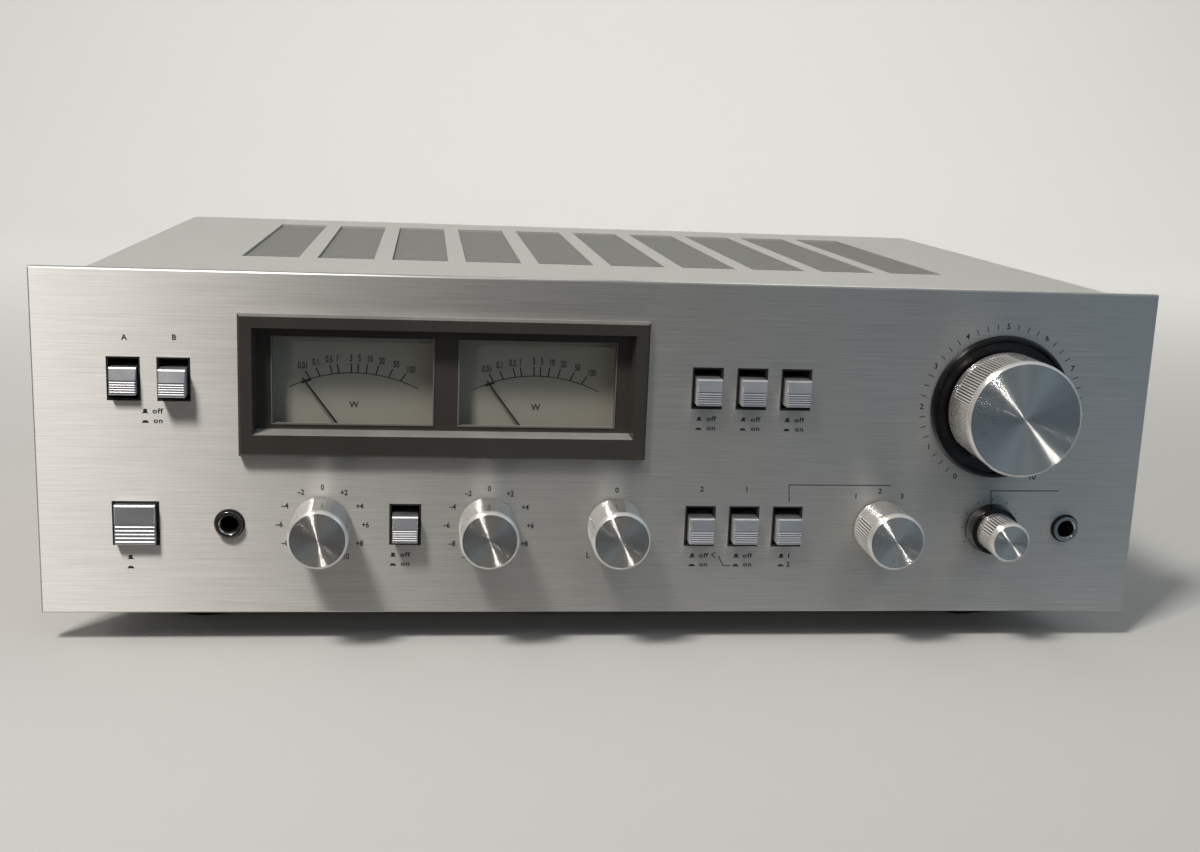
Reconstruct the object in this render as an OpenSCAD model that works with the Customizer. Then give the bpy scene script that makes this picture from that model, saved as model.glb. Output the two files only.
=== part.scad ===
// Stereo integrated amplifier with two power meters: a steel case behind an aluminium front panel.
// Lengths are in millimetres. X runs to the right, Y from front to back, Z up.
// Every piece is drawn in panel places: X from the panel's middle, Y from the panel's front face
// into the case, Z from the panel's lower edge. placed() then moves it to the part's own origin,
// the middle of its footprint on the surface that the feet stand on.

/* [Front panel] */
// Height of the front panel
panel_h = 129.5; // [126:0.5:145]
// Thickness of the front panel
panel_t = 4; // [3:0.5:5]
// Chamfer along the panel's front edges
panel_edge = 0.5; // [0.2:0.1:1]
// Height of the lower row of controls
low_row = 35; // [33:0.5:37]
// Height of the upper rows of buttons
high_row = 89.5; // [86:0.5:94]

/* [Case] */
// How far the panel stands out past the cover on each side
side_overhang = 17.5; // [12:0.5:20]
// Depth from the panel's face to the rear panel's face
case_d = 255.5; // [248:0.5:280]
// Sheet thickness of the cover
cover_t = 1; // [0.8:0.1:1.5]
// Outer radius of the cover's bends
cover_bend = 2.5; // [2:0.5:5]
// Sheet thickness of the chassis, sub-chassis and rear panel
sheet_t = 1.2; // [1:0.1:1.6]
// Gap between the cover and what it closes over
case_fit = 0.3; // [0.2:0.1:0.5]
// Distance from the panel's face to the sub-chassis
sub_y = 16; // [15:0.5:19]
// How far the panel hangs below the chassis
panel_drop = 1; // [0.5:0.5:2]
// Height of the chassis flanges
flange_h = 14; // [12:1:18]
// Depth of the flanges of the sub-chassis
sub_flange = 12; // [8:1:16]
// Height at which the sub-chassis is split into upper and lower plates
sub_split = 50; // [48:0.5:52]
// Height of the cover's lips outside the side plates
lip_h = 14; // [13:0.5:20]
// Diameter of the posts that hold the panel off the sub-chassis
post_d = 8; // [6:1:10]
// Distance of the posts from the panel's ends
post_side = 47.5; // [44:0.5:50]
// Distance of the posts from the panel's upper and lower edge
post_inset = 12; // [10:0.5:14]

/* [Vents] */
// Number of vent fields across the cover
vent_fields = 10; // [6:1:11]
// Width of a vent field
vent_w = 22.5; // [18:0.5:25]
// Spacing of the vent fields
vent_pitch = 29.7; // [28:0.1:31]
// Length of a vent field from front to back
vent_l = 165; // [130:1:175]
// Distance from the panel's face to the vent fields
vent_y = 56.5; // [50:0.5:65]
// Spacing of the slits in a vent field
slit_pitch = 5; // [4.5:0.1:8]
// Width of a slit
slit_w = 3; // [2:0.1:3.5]
// Thickness of the slitted plate under the vent fields
grille_t = 0.8; // [0.5:0.1:1.2]
// How far the slitted plate reaches past the vent fields
grille_lap = 4; // [2:0.5:6]

/* [Feet and screws] */
// Height of a foot
foot_h = 13; // [8:0.5:20]
// Diameter of a foot at its top
foot_d = 36; // [28:1:44]
// How much narrower a foot is at the bottom, on the diameter
foot_taper = 4; // [0:0.5:8]
// Distance of the feet from the sides of the chassis
foot_side = 34.5; // [28:0.5:50]
// Distance from the panel's face to the front feet
foot_front = 46; // [40:1:60]
// Distance from the rear panel's face to the back feet
foot_back = 34; // [26:1:50]
// Diameter of the recess for the screw head in a foot
foot_recess_d = 14; // [12:0.5:18]
// Web left in a foot above the recess
foot_web = 6; // [4:0.5:7]
// Diameter of the screws
screw_d = 4; // [3:0.5:5]
// Diameter of the screw heads
screw_head_d = 8; // [7:0.5:9]
// Height of the screw heads
screw_head_h = 2.4; // [2:0.1:3]
// Radial clearance of a screw in its hole
screw_fit = 0.1; // [0.05:0.05:0.3]
// Distance from the panel's face to the front screws of the case
cover_screw_front = 60; // [48:1:75]
// Distance from the rear panel's face to the back screws of the case
cover_screw_back = 40; // [30:1:50]

/* [Meters] */
// Distance from the panel's left end to the bezel
bezel_margin = 73.05; // [71:0.05:76]
// Middle of the bezel, up
bezel_z = 88.3; // [86:0.1:91]
// Width of the bezel
bezel_w = 151.3; // [149:0.1:156]
// Height of the bezel
bezel_h = 52.9; // [51.5:0.1:56]
// How far the bezel stands out of the panel
bezel_out = 4; // [3:0.1:5]
// Chamfer round the bezel's front
bezel_edge = 0.9; // [0.4:0.1:1.2]
// Width of the bezel's border at the sides
border_side = 5.1; // [4.4:0.1:5.5]
// Width of the bezel's border at the top
border_top = 5.1; // [4.4:0.1:5.5]
// Width of the bezel's border at the bottom
border_bottom = 8.1; // [7:0.1:8.6]
// Depth of the bezel's recess
recess_d = 7.5; // [6.8:0.1:8.5]
// How far the walls of the recess lean in
recess_lean = 0.9; // [0.3:0.1:1.2]
// Wall round the recess behind the panel's face
skirt_wall = 1.6; // [1.2:0.1:2]
// Gap between the bezel and its opening in the panel
skirt_fit = 0.3; // [0.2:0.1:0.5]
// Thickness of the web that holds the two windows
web_t = 1.5; // [1:0.1:2]
// Width of a meter window
window_w = 59; // [54:0.5:60]
// Height of a meter window
window_h = 32.3; // [29:0.1:33]
// Middle of the meter windows, up
window_z = 89.2; // [88:0.1:90.5]
// Spacing of the two meters
meter_pitch = 68.9; // [67:0.1:70]
// Width of a meter
meter_w = 64; // [62:0.5:65]
// Height of a meter
meter_h = 50; // [48:0.5:52]
// Middle of the meters, up
meter_z = 83; // [82.5:0.1:84]
// Gap between a meter and the web
meter_fit = 0.2; // [0.1:0.1:0.4]
// Depth of a clear meter cover
lens_d = 7; // [6.6:0.1:7.8]
// Wall of a clear meter cover
lens_t = 1.4; // [1:0.1:1.6]
// Depth of a meter body behind its cover
meter_d = 24; // [20:0.5:30]
// Wall of a meter body
meter_wall = 1.6; // [1.2:0.1:2]
// Height of the ears that seat a meter on the sub-chassis
ear_h = 5; // [4:0.5:6]
// Width of the ears
ear_w = 20; // [14:1:30]
// Thickness of the ears
ear_t = 1.4; // [1:0.1:1.6]
// Clear space round a meter in the sub-chassis
meter_room = 1; // [0.5:0.1:1.4]
// Thickness of a dial plate
dial_t = 0.6; // [0.4:0.1:0.8]
// Distance from the front of a meter to its dial plate
dial_set = 5.6; // [5.2:0.1:5.8]
// Gap between a dial plate and the clear cover's walls
dial_fit = 0.4; // [0.2:0.1:0.8]
// How far a dial plate reaches below its window
dial_lap = 3; // [2:0.1:4]
// Section of the posts behind a dial plate
dial_post = 6; // [4:0.5:8]
// Height of the pivots of the needles
pivot_z = 64; // [63:0.1:65]
// Diameter of the pivot pins
pivot_d = 2; // [1.5:0.1:2.4]
// Gap between a pivot pin and the clear cover
pivot_end = 0.5; // [0.3:0.1:0.7]
// Diameter of a needle's hub
hub_d = 4.4; // [3.6:0.1:5]
// Length of a needle's hub
hub_l = 1.8; // [1.4:0.1:2.4]
// Length of a needle from its pivot
needle_l = 31.6; // [28:0.1:34]
// Width of a needle
needle_w = 0.6; // [0.4:0.1:0.9]
// Thickness of a needle
needle_t = 0.5; // [0.3:0.1:0.7]
// Length of a needle's counterweight
needle_tail = 3; // [2.6:0.1:3.2]
// Width of a needle's counterweight
needle_tail_w = 1.6; // [1:0.1:2]
// Angle of a needle at rest from upright
needle_rest = -36.8; // [-40:0.1:-30]
// Diameter of the meter lamps
lamp_d = 6; // [4:0.5:7]
// Height of the meter lamps
lamp_z = 96; // [92:0.5:98]
// Length of a meter lamp on each side of the meter's back
lamp_l = 8; // [5:0.5:10]
// Width and thickness of a meter lamp's flange
lamp_flange = 2; // [1:0.5:3]
// Width of the magnet yoke behind a needle
yoke_w = 22; // [16:1:28]
// Height of the magnet yoke
yoke_h = 14; // [10:1:18]

/* [Buttons] */
// Width of a button
button_w = 9.6; // [8.6:0.1:10]
// Height of a button
button_h = 10; // [9:0.1:11]
// Width of a button's hole in the panel
button_hole_w = 12; // [11.9:0.1:13]
// Height of a button's hole in the panel
button_hole_h = 16.3; // [15.5:0.1:18]
// Width of the power button
power_w = 14.7; // [13.5:0.1:15]
// Height of the power button
power_h = 15; // [13.5:0.1:15.1]
// Width of the power button's hole
power_hole_w = 17.1; // [17:0.1:18]
// Height of the power button's hole
power_hole_h = 17; // [16.9:0.1:18]
// How far a small button's cap sits below the middle of its hole
button_sag = 0.6; // [0:0.1:1.2]
// How far a released button stands out of the panel
button_out = 6.2; // [5:0.1:7]
// Travel of the buttons
button_travel = 3.2; // [2.5:0.1:3.5]
// Length of a button's cap
cap_l = 14; // [12:0.5:15]
// Chamfer round a button's face
cap_edge = 0.7; // [0.3:0.1:1]
// Number of grooves across the lower half of a button's face
grooves = 5; // [3:1:5]
// Depth of the grooves
groove_d = 0.45; // [0.2:0.05:0.6]
// Width of a groove as a share of the groove spacing
groove_share = 0.55; // [0.4:0.05:0.7]
// Plain height above the grooves as a share of the button's height
plain_share = 0.46; // [0.4:0.02:0.5]
// Plain height below the grooves
plain_foot = 1; // [0.8:0.1:1.2]
// Width of a button's square stem
stem_w = 5; // [4:0.1:6]
// Clearance of a stem in its switch
stem_fit = 0.3; // [0.2:0.05:0.4]
// How far a released stem reaches into its switch
stem_in = 12; // [8:0.5:16]
// Gap left behind a stem or a shaft at the end of its way
stem_end = 0.5; // [0.3:0.1:1]
// Wall of the guides that line the button holes
guide_wall = 0.6; // [0.5:0.05:0.7]
// Gap between a guide and its hole
guide_fit = 0.1; // [0.05:0.05:0.2]
// How far a guide is set back from the panel's face
guide_set = 0.3; // [0.1:0.1:0.6]
// Thickness of the back of a guide
guide_back = 1; // [0.6:0.1:1.4]
// Width of a push switch
switch_w = 11; // [9:0.5:13]
// Height of a push switch
switch_h = 13; // [10:0.5:15]
// Length of a push switch
switch_l = 34; // [28:1:40]
// Width of the power switch
power_switch_w = 18; // [15:0.5:20]
// Height of the power switch
power_switch_h = 20; // [16:0.5:24]
// Length of the power switch
power_switch_l = 40; // [30:1:50]

/* [Places along the panel] */
// Distance from the panel's left end to the first speaker button
speaker_margin = 32.1; // [30:0.1:34]
// Spacing of the speaker buttons
speaker_pitch = 17.8; // [16:0.1:18.5]
// Distance from the panel's left end to the power button
power_margin = 35.1; // [33:0.1:39]
// Distance from the power button to the headphone socket
power_to_phones = 33.9; // [30:0.1:38]
// Distance from the headphone socket to the bass knob
phones_to_bass = 33.8; // [30:0.1:38]
// Distance from the bass knob to the tone button
bass_to_tone = 31.3; // [28:0.1:35]
// Distance from the tone button to the treble knob
tone_to_treble = 31.2; // [28:0.1:35]
// Distance from the treble knob to the balance knob
treble_to_balance = 49.1; // [44:0.1:54]
// Distance from the balance knob to the first filter button and the first tape button
balance_to_bank = 33.3; // [30:0.1:37]
// Spacing of the filter and tape buttons
bank_pitch = 17.3; // [16:0.1:18.5]
// Distance from the last tape button to the selector knob
bank_to_selector = 37.9; // [34:0.1:42]
// Distance from the selector knob to the microphone knob
selector_to_mic = 45.2; // [41:0.1:50]
// Distance from the microphone knob to the microphone socket
mic_to_jack = 31.1; // [28:0.1:34]
// Distance from the microphone socket to the panel's right end
jack_margin = 28.5; // [28:0.1:32]
// Distance from the volume knob to the panel's right end
volume_margin = 60.1; // [57:0.1:62]
// Height of the volume knob
volume_z = 84; // [82:0.1:87]

/* [Knobs] */
// Diameter of the volume knob
volume_d = 44.5; // [40:0.5:48]
// Distance from the panel to the volume knob's face
volume_reach = 24.5; // [20:0.5:28]
// Diameter of the small knobs
knob_d = 22; // [18:0.5:24]
// Distance from the panel to the small knobs' faces
knob_reach = 21.5; // [18:0.5:24]
// Diameter of the microphone knob's cap
mic_d = 15.4; // [13:0.1:17]
// Diameter of the microphone knob's skirt
mic_skirt_d = 20.4; // [18:0.1:22]
// Height of the microphone knob's skirt
mic_skirt_h = 5; // [3:0.5:7]
// How much narrower the skirt is at its top, on the diameter
mic_skirt_taper = 1.6; // [0:0.1:2.4]
// Gap between the panel and the small knobs
knob_gap = 0.8; // [0.5:0.1:1.5]
// Gap between the ring and the volume knob
volume_gap = 0.6; // [0.4:0.1:1.2]
// Chamfer round a knob's face
knob_edge = 0.9; // [0.3:0.1:1.2]
// Angle from the pointer to the start of a gripped sector
grip_from = 65; // [50:1:70]
// Angle from the pointer to the end of a gripped sector
grip_to = 135; // [110:1:145]
// Spacing of the grip's flutes round the knob
flute_pitch = 1.15; // [0.9:0.05:2]
// Half the width of a flute
flute_w = 0.5; // [0.3:0.05:0.55]
// Depth of the flutes
flute_d = 0.4; // [0.2:0.05:0.5]
// Smooth band at the foot of a knob
grip_foot = 4; // [2:0.5:5]
// Smooth band below a knob's face
grip_head = 3; // [2:0.5:5]
// Angle that the pointer flat takes in at the knob's foot
flat_foot = 28; // [24:1:40]
// Angle that the pointer flat takes in at the knob's face
flat_face = 15; // [10:1:22]
// Diameter of the control shafts
shaft_d = 6; // [5:0.1:6.35]
// Radial clearance of a shaft in its bush
shaft_fit = 0.05; // [0.02:0.01:0.08]
// Depth of the shaft's bore in a knob
bore_l = 12; // [9:0.5:12.5]
// Metal left between a shaft's end and the end of its bore
bore_end = 0.5; // [0.3:0.1:1]
// Diameter of the shaft holes in the panel
shaft_hole_d = 10; // [9:0.5:12]

// Angle of the volume and microphone pointers at rest, clockwise from upright
level_rest = -142; // [-150:1:-135]
// Angle of the selector pointer at rest, clockwise from upright
selector_rest = 40; // [30:1:50]

/* [Volume ring] */
// Diameter of the ring round the volume knob
ring_d = 57; // [54:0.5:60]
// Height of the ring's rim
ring_h = 2; // [1.5:0.1:3]
// Height of the ring's dished floor
ring_floor = 1; // [0.6:0.1:1.3]
// Width of the ring's rim
ring_rim = 1; // [0.6:0.1:1.5]
// Width of the slope on each side of the rim
ring_slope = 0.8; // [0.4:0.1:1.2]
// Diameter of the hole in the ring
ring_hole_d = 12; // [10:0.5:14]

/* [Controls behind the panel] */
// Diameter of the bushes of the controls
bush_d = 9; // [8.5:0.1:10]
// Length of a bush in front of the sub-chassis
bush_l = 6; // [5:0.5:8]
// Clearance of a bush in the sub-chassis
bush_fit = 0.2; // [0.1:0.05:0.4]
// Width across the flats of the control nuts
nut_af = 13; // [12:0.5:14]
// Thickness of the control nuts
nut_t = 2.5; // [2:0.1:3.5]
// Diameter of a control's case
pot_d = 23; // [18:0.5:25]
// Length of a control's case
pot_l = 10; // [8.5:0.5:14]
// Diameter of the volume control's case
volume_pot_d = 28; // [24:0.5:30]
// Length of the volume control's case
volume_pot_l = 24; // [18:0.5:30]
// How far a shaft reaches into its control
shaft_in = 7; // [5:0.5:7.5]
// Diameter of the selector's wafers
wafer_d = 30; // [24:0.5:32]
// Thickness of the selector's wafers
wafer_t = 2; // [1.5:0.1:3]
// Spacing of the selector's wafers
wafer_pitch = 9; // [6:0.5:12]
// Number of the selector's wafers
wafers = 3; // [2:1:4]
// Diameter of the selector's index case
index_d = 24; // [20:0.5:28]

/* [Sockets] */
// Diameter of a socket's bore
jack_bore_d = 6.5; // [6.4:0.05:6.7]
// Diameter of a socket's collar in the panel
collar_d = 11.2; // [10.5:0.1:12]
// How far the collar stands out of the panel
collar_out = 0.4; // [0.2:0.1:0.8]
// Clearance of a collar in the panel
collar_fit = 0.1; // [0.05:0.05:0.2]
// Diameter of a socket's ring nut
ring_nut_d = 10; // [9:0.1:10.4]
// Thickness of a ring nut
ring_nut_t = 1.5; // [1:0.1:2.5]
// Width of the sloped mouth of a ring nut
ring_nut_mouth = 1.1; // [0.6:0.1:1.2]
// Width of a socket's body
jack_w = 12; // [11.5:0.5:13]
// Height of a socket's body
jack_h = 15; // [12:0.5:18]
// Length of a socket's body
jack_l = 32; // [28:1:38]
// Distance from the middle of a socket to the plates of the sub-chassis
jack_room = 14; // [10:0.5:15]

/* [Rear panel] */
// Number of columns of phono sockets
phono_columns = 8; // [4:1:8]
// Spacing of the phono sockets across
phono_pitch = 15; // [14:0.5:18]
// Distance between the two rows of phono sockets
phono_rise = 18; // [15:0.5:24]
// Distance from the chassis's right side to the middle of the phono sockets
phono_side = 92.5; // [84:0.5:100]
// Height of the phono sockets' middle
phono_z = 88; // [80:1:100]
// Diameter of a phono socket's barrel
phono_d = 8.3; // [8:0.1:8.6]
// How far a phono socket stands out of its flange
phono_out = 8; // [6:0.5:10]
// Diameter of a phono socket's flange
phono_flange_d = 12; // [11:0.5:13]
// Thickness of a phono socket's flange
phono_flange_t = 1.5; // [1:0.1:2]
// Diameter of a phono socket's bore
phono_bore_d = 3.3; // [3:0.1:3.6]
// How far a phono socket reaches into the case
phono_in = 7; // [5:0.5:10]
// Width of the speaker terminal strip
strip_w = 112; // [96:1:130]
// Height of the speaker terminal strip
strip_h = 24; // [20:1:30]
// Distance from the chassis's left side to the middle of the terminal strip
strip_side = 150.5; // [135:0.5:155]
// Height of the terminal strip's middle
strip_z = 70; // [55:1:90]
// Thickness of the terminal strip's body
strip_t = 8; // [6:0.5:10]
// How far the strip's barriers stand out of the rear panel
strip_out = 15; // [13:0.5:18]
// Number of terminals on the strip
terminals = 8; // [4:2:10]
// How far the strip overlaps the edge of its hole
strip_lap = 3; // [2:0.5:4]
// Thickness of the barriers
barrier_t = 2; // [1.5:0.1:3]
// Diameter of the terminal screws' heads
terminal_d = 7; // [5:0.5:7.5]
// Height of the terminal screws' heads
terminal_h = 3.5; // [2.5:0.5:4.5]
// Distance from the middle of the phono sockets to the ground post
phono_to_ground = 74; // [70:0.5:78]
// Diameter of the ground post
ground_d = 4; // [3:0.5:5]
// Diameter of the ground post's thumb nut
ground_nut_d = 10; // [8:0.5:12]
// Thickness of the ground post's thumb nut
ground_nut_t = 5; // [4:0.5:6]
// How far the ground post stands out of the rear panel
ground_out = 12; // [10:0.5:13]
// Distance from the chassis's left side to the cord gland
gland_side = 27.5; // [20:0.5:40]
// Height of the cord gland
gland_z = 30; // [24:1:50]
// Diameter of the cord gland's hole in the rear panel
gland_d = 13; // [11:0.5:15]
// Diameter of the cord's way through the gland
gland_bore_d = 7; // [6:0.5:8]
// How far the gland's lips overlap the rear panel
gland_lip = 2.5; // [2:0.5:4]
// Thickness of the gland's lips
gland_lip_t = 3; // [2:0.5:4]

/* [Inside] */
// Distance from the chassis's left side to the transformer's middle
mains_side = 60.5; // [55:0.5:68]
// Distance from the rear panel to the transformer's middle
mains_back = 82; // [76:1:95]
// Width of the transformer's core
core_w = 80; // [66:1:86]
// Height of the transformer's core
core_h = 68; // [56:1:84]
// Depth of the transformer's core
core_d = 48; // [40:1:56]
// Width of the core's limbs
core_limb = 14; // [10:1:16]
// How far the winding bulges past the core, front and back
coil_bulge = 14; // [8:1:18]
// Gap between the winding and the core
coil_fit = 0.3; // [0.2:0.1:0.5]
// Width of the transformer's mounting feet
core_foot = 9; // [7:1:12]
// Thickness of the mounting feet
core_foot_t = 2; // [1.5:0.1:3]
// Diameter of the filter capacitors
cap_d = 35; // [30:1:38]
// Height of the filter capacitors
cap_h = 75; // [50:1:95]
// Width and depth of the rolled rim of a filter capacitor
cap_rim = 1.5; // [1:0.1:2]
// Distance from the transformer's middle to the filter capacitors
mains_to_cap = 70; // [68:0.5:76]
// Spacing of the filter capacitors
cap_pitch = 42; // [40:1:48]
// Distance from the filter capacitors to the heat sink's left end
cap_to_sink = 42; // [30:0.5:50]
// Width of the heat sink
sink_w = 180; // [140:1:200]
// Height of the heat sink
sink_h = 80; // [60:1:95]
// Depth of the heat sink over its fins
sink_d = 38; // [30:1:42]
// Thickness of the heat sink's back
sink_back = 6; // [4:0.5:8]
// Number of fins
fins = 15; // [8:1:18]
// Thickness of a fin
fin_t = 2; // [1.5:0.1:3]
// Distance from the rear panel to the heat sink's fins
sink_gap = 40; // [30:1:50]
// Diameter of a power transistor's can
can_d = 20; // [16:0.5:22]
// Height of a power transistor's can
can_h = 7; // [5:0.5:9]
// Width of a power transistor's flange
can_flange_w = 38; // [34:1:40]
// Thickness of a power transistor's flange
can_flange_t = 1.6; // [1:0.1:2]
// Number of power transistors
transistors = 4; // [2:2:4]
// Thickness of the circuit boards
board_t = 1.6; // [1:0.1:2]
// Height of the posts under the amplifier board
board_post_h = 8; // [6:0.5:12]
// Diameter of the posts under the amplifier board
board_post_d = 7; // [5:0.5:9]
// Inset of the posts from the board's corners
board_inset = 8; // [6:0.5:12]
// Width of the amplifier board
board_w = 170; // [130:1:190]
// Depth of the amplifier board
board_d = 84; // [60:1:92]
// Gap between the amplifier board and the power transistors
board_gap = 15.3; // [4:0.1:18]
// Number of air slots in the floor under the board
floor_slots = 12; // [6:1:14]
// Spacing of the air slots
floor_slot_pitch = 10; // [8:0.5:11]
// Width of an air slot
floor_slot_w = 4; // [3:0.5:5]
// Length of an air slot
floor_slot_l = 50; // [30:1:60]
// Margin of the control board past the controls on it
control_margin = 14; // [13:0.5:18]
// Height of the control board
control_h = 44; // [36:1:50]
// Clear space round the tone switch in the control board
control_room = 1; // [0.5:0.1:2]

/* [Hidden] */
$fn = 64;
eps = 1;

panel_w = power_margin + power_to_phones + phones_to_bass + bass_to_tone + tone_to_treble + treble_to_balance
    + balance_to_bank + 2 * bank_pitch + bank_to_selector + selector_to_mic + mic_to_jack + jack_margin;
panel_left = -panel_w / 2;
cover_w = panel_w - 2 * side_overhang;
shell_w = cover_w - 2 * (cover_t + case_fit);
inner_w = shell_w - 2 * sheet_t;
inner_top = panel_h - cover_t - case_fit;
side_top = panel_h - cover_bend - case_fit;
post_x = panel_w / 2 - post_side;
foot_x = inner_w / 2 - foot_side;
base_z = panel_drop;
floor_z = base_z + sheet_t;
rear_y = case_d - sheet_t;
sub_back = sub_y + sheet_t;
panel_z = foot_h - panel_drop;
front_y = (volume_reach - case_d - strip_out) / 2;

vent_span = (vent_fields - 1) * vent_pitch + vent_w;
vent_xs = [for (i = [0:vent_fields - 1]) (i - (vent_fields - 1) / 2) * vent_pitch];
slits = floor(vent_l / slit_pitch);
slit_start = (vent_l - (slits - 1) * slit_pitch - slit_w) / 2;

bezel_x = panel_left + bezel_margin + bezel_w / 2;
open_w = bezel_w - 2 * border_side;
open_h = bezel_h - border_top - border_bottom;
open_z = bezel_z + (border_bottom - border_top) / 2;
skirt_w = open_w + 2 * skirt_wall;
skirt_h = open_h + 2 * skirt_wall;
lean_step = eps * recess_lean / recess_d;
web_y = recess_d - bezel_out;
web_back = web_y + web_t;
lens_y = web_back + meter_fit;
meter_y = lens_y + lens_d;
meter_back = meter_y + meter_d;
dial_y = lens_y + dial_set;
needle_y = (lens_y + lens_t + dial_y) / 2;
meter_xs = [bezel_x - meter_pitch / 2, bezel_x + meter_pitch / 2];
lens_in_w = meter_w - 2 * lens_t;
lens_in_top = meter_z + meter_h / 2 - lens_t;
dial_w = lens_in_w - 2 * dial_fit;
dial_top = lens_in_top - dial_fit;
dial_bottom = window_z - window_h / 2 - dial_lap;

speaker_x = panel_left + speaker_margin;
power_x = panel_left + power_margin;
phones_x = power_x + power_to_phones;
bass_x = phones_x + phones_to_bass;
tone_x = bass_x + bass_to_tone;
treble_x = tone_x + tone_to_treble;
balance_x = treble_x + treble_to_balance;
bank_x = balance_x + balance_to_bank;
selector_x = bank_x + 2 * bank_pitch + bank_to_selector;
mic_x = selector_x + selector_to_mic;
mic_jack_x = mic_x + mic_to_jack;
volume_x = panel_w / 2 - volume_margin;

button_in = button_out - button_travel;
stem_l = sub_back + stem_in - (cap_l - button_out);
small = [button_w, button_h, button_hole_w, button_hole_h, switch_w, switch_h, switch_l, button_sag];
large = [power_w, power_h, power_hole_w, power_hole_h, power_switch_w, power_switch_h, power_switch_l, 0];
speaker_a = [speaker_x, high_row, small, button_in];
speaker_b = [speaker_x + speaker_pitch, high_row, small, button_out];
power = [power_x, low_row, large, button_in];
tone = [tone_x, low_row, small, button_out];
filters = [for (i = [0:2]) [bank_x + i * bank_pitch, high_row, small, button_out]];
tapes = [for (i = [0:2]) [bank_x + i * bank_pitch, low_row, small, button_out]];
small_buttons = concat([speaker_a, speaker_b, tone], filters, tapes);
all_buttons = concat(small_buttons, [power]);

shaft_r = shaft_d / 2;
bush_bore_r = shaft_r + shaft_fit;
volume_foot = ring_h + volume_gap;
mic_foot = knob_gap + mic_skirt_h;
pots = [[bass_x, low_row], [treble_x, low_row], [balance_x, low_row], [mic_x, low_row]];
shafts = concat(pots, [[selector_x, low_row], [volume_x, volume_z]]);
jack_xs = [phones_x, mic_jack_x];
collar_r = collar_d / 2;
jack_back = panel_t + jack_l;

foot_places = [for (x = [-foot_x, foot_x], y = [foot_front, case_d - foot_back]) [x, y]];
cover_screw_ys = [cover_screw_front, case_d - cover_screw_back];
flange_screw_z = base_z + flange_h / 2;
lip_screw_z = panel_h - lip_h / 2;
screw_r = screw_d / 2;
screw_hole_r = screw_r + screw_fit;
lip_screw_l = cover_t + case_fit + sheet_t + screw_d;
flange_screw_l = 2 * sheet_t + screw_d;

mains_x = mains_side - inner_w / 2;
cap_x = mains_x + mains_to_cap;
sink_x = cap_x + cap_to_sink;
phono_x = inner_w / 2 - phono_side;
strip_x = strip_side - inner_w / 2;
ground_x = phono_x - phono_to_ground;
gland_x = gland_side - inner_w / 2;
phono_places = [for (i = [0:phono_columns - 1], s = [-1, 1])
    [phono_x + (i - (phono_columns - 1) / 2) * phono_pitch, phono_z + s * phono_rise / 2]];
phono_end = case_d + phono_flange_t + phono_out;
sink_y = case_d - sheet_t - sink_gap - sink_d;
board_x = sink_x + (sink_w - board_w) / 2;
board_y = sink_y - can_h - board_gap - board_d;
board_posts = [for (x = [board_x + board_inset, board_x + board_w - board_inset],
    y = [board_y + board_inset, board_y + board_d - board_inset]) [x, y]];
floor_slot_x = board_x + (board_w - (floor_slots - 1) * floor_slot_pitch - floor_slot_w) / 2;
floor_slot_y = board_y + (board_d - floor_slot_l) / 2;

// Shared shapes

// Moves a piece from panel places to the part's own origin
module placed() translate([0, front_y, panel_z]) children();

// Bar along Y with a rectangular section centred on (x, z)
module bar(x, z, w, h, y0, y1) translate([x - w / 2, y0, z - h / 2]) cube([w, y1 - y0, h]);

// Round bar along Y
module rod(x, z, r, y0, y1) translate([x, y0, z]) rotate([-90, 0, 0]) cylinder(h = y1 - y0, r = r);

// Revolved profile of [radius, depth] points about the Y axis through (x, z)
module turned(x, z, points) translate([x, 0, z]) rotate([-90, 0, 0]) rotate_extrude() polygon(points);

// Bar along Y whose section changes evenly from w0 by h0 at y0 to w1 by h1 at y1
module taper_bar(x, z, w0, h0, y0, w1, h1, y1) intersection() {
    translate([x, 0, z - max(h0, h1) / 2]) linear_extrude(max(h0, h1))
        polygon([[-w0 / 2, y0], [w0 / 2, y0], [w1 / 2, y1], [-w1 / 2, y1]]);
    translate([x - max(w0, w1) / 2, 0, z]) rotate([90, 0, 90]) linear_extrude(max(w0, w1))
        polygon([[y0, -h0 / 2], [y1, -h1 / 2], [y1, h1 / 2], [y0, h0 / 2]]);
}

// Upright sheet section, w wide and h high, with round upper corners
module round_top(w, h, r) {
    translate([-w / 2, 0]) square([w, h - r]);
    translate([-w / 2 + r, 0]) square([w - 2 * r, h]);
    for (s = [-1, 1]) translate([s * (w / 2 - r), h - r]) circle(r);
}

// Case

module front_panel() color("silver") placed() difference() {
    union() {
        taper_bar(0, panel_h / 2, panel_w - 2 * panel_edge, panel_h - 2 * panel_edge, 0,
            panel_w, panel_h, panel_edge);
        bar(0, panel_h / 2, panel_w, panel_h, panel_edge, panel_t);
    }
    bar(bezel_x, open_z, skirt_w + 2 * skirt_fit, skirt_h + 2 * skirt_fit, -eps, panel_t + eps);
    for (b = all_buttons) bar(b[0], b[1], b[2][2], b[2][3], -eps, panel_t + eps);
    for (s = shafts) rod(s[0], s[1], shaft_hole_d / 2, -eps, panel_t + eps);
    for (x = jack_xs) rod(x, low_row, collar_r + collar_fit, -eps, panel_t + eps);
}

// Posts that hold the panel off the sub-chassis
module panel_posts() color("dimgray") placed()
    for (x = [-post_x, post_x], z = [post_inset, panel_h - post_inset]) rod(x, z, post_d / 2, panel_t, sub_y);

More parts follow.
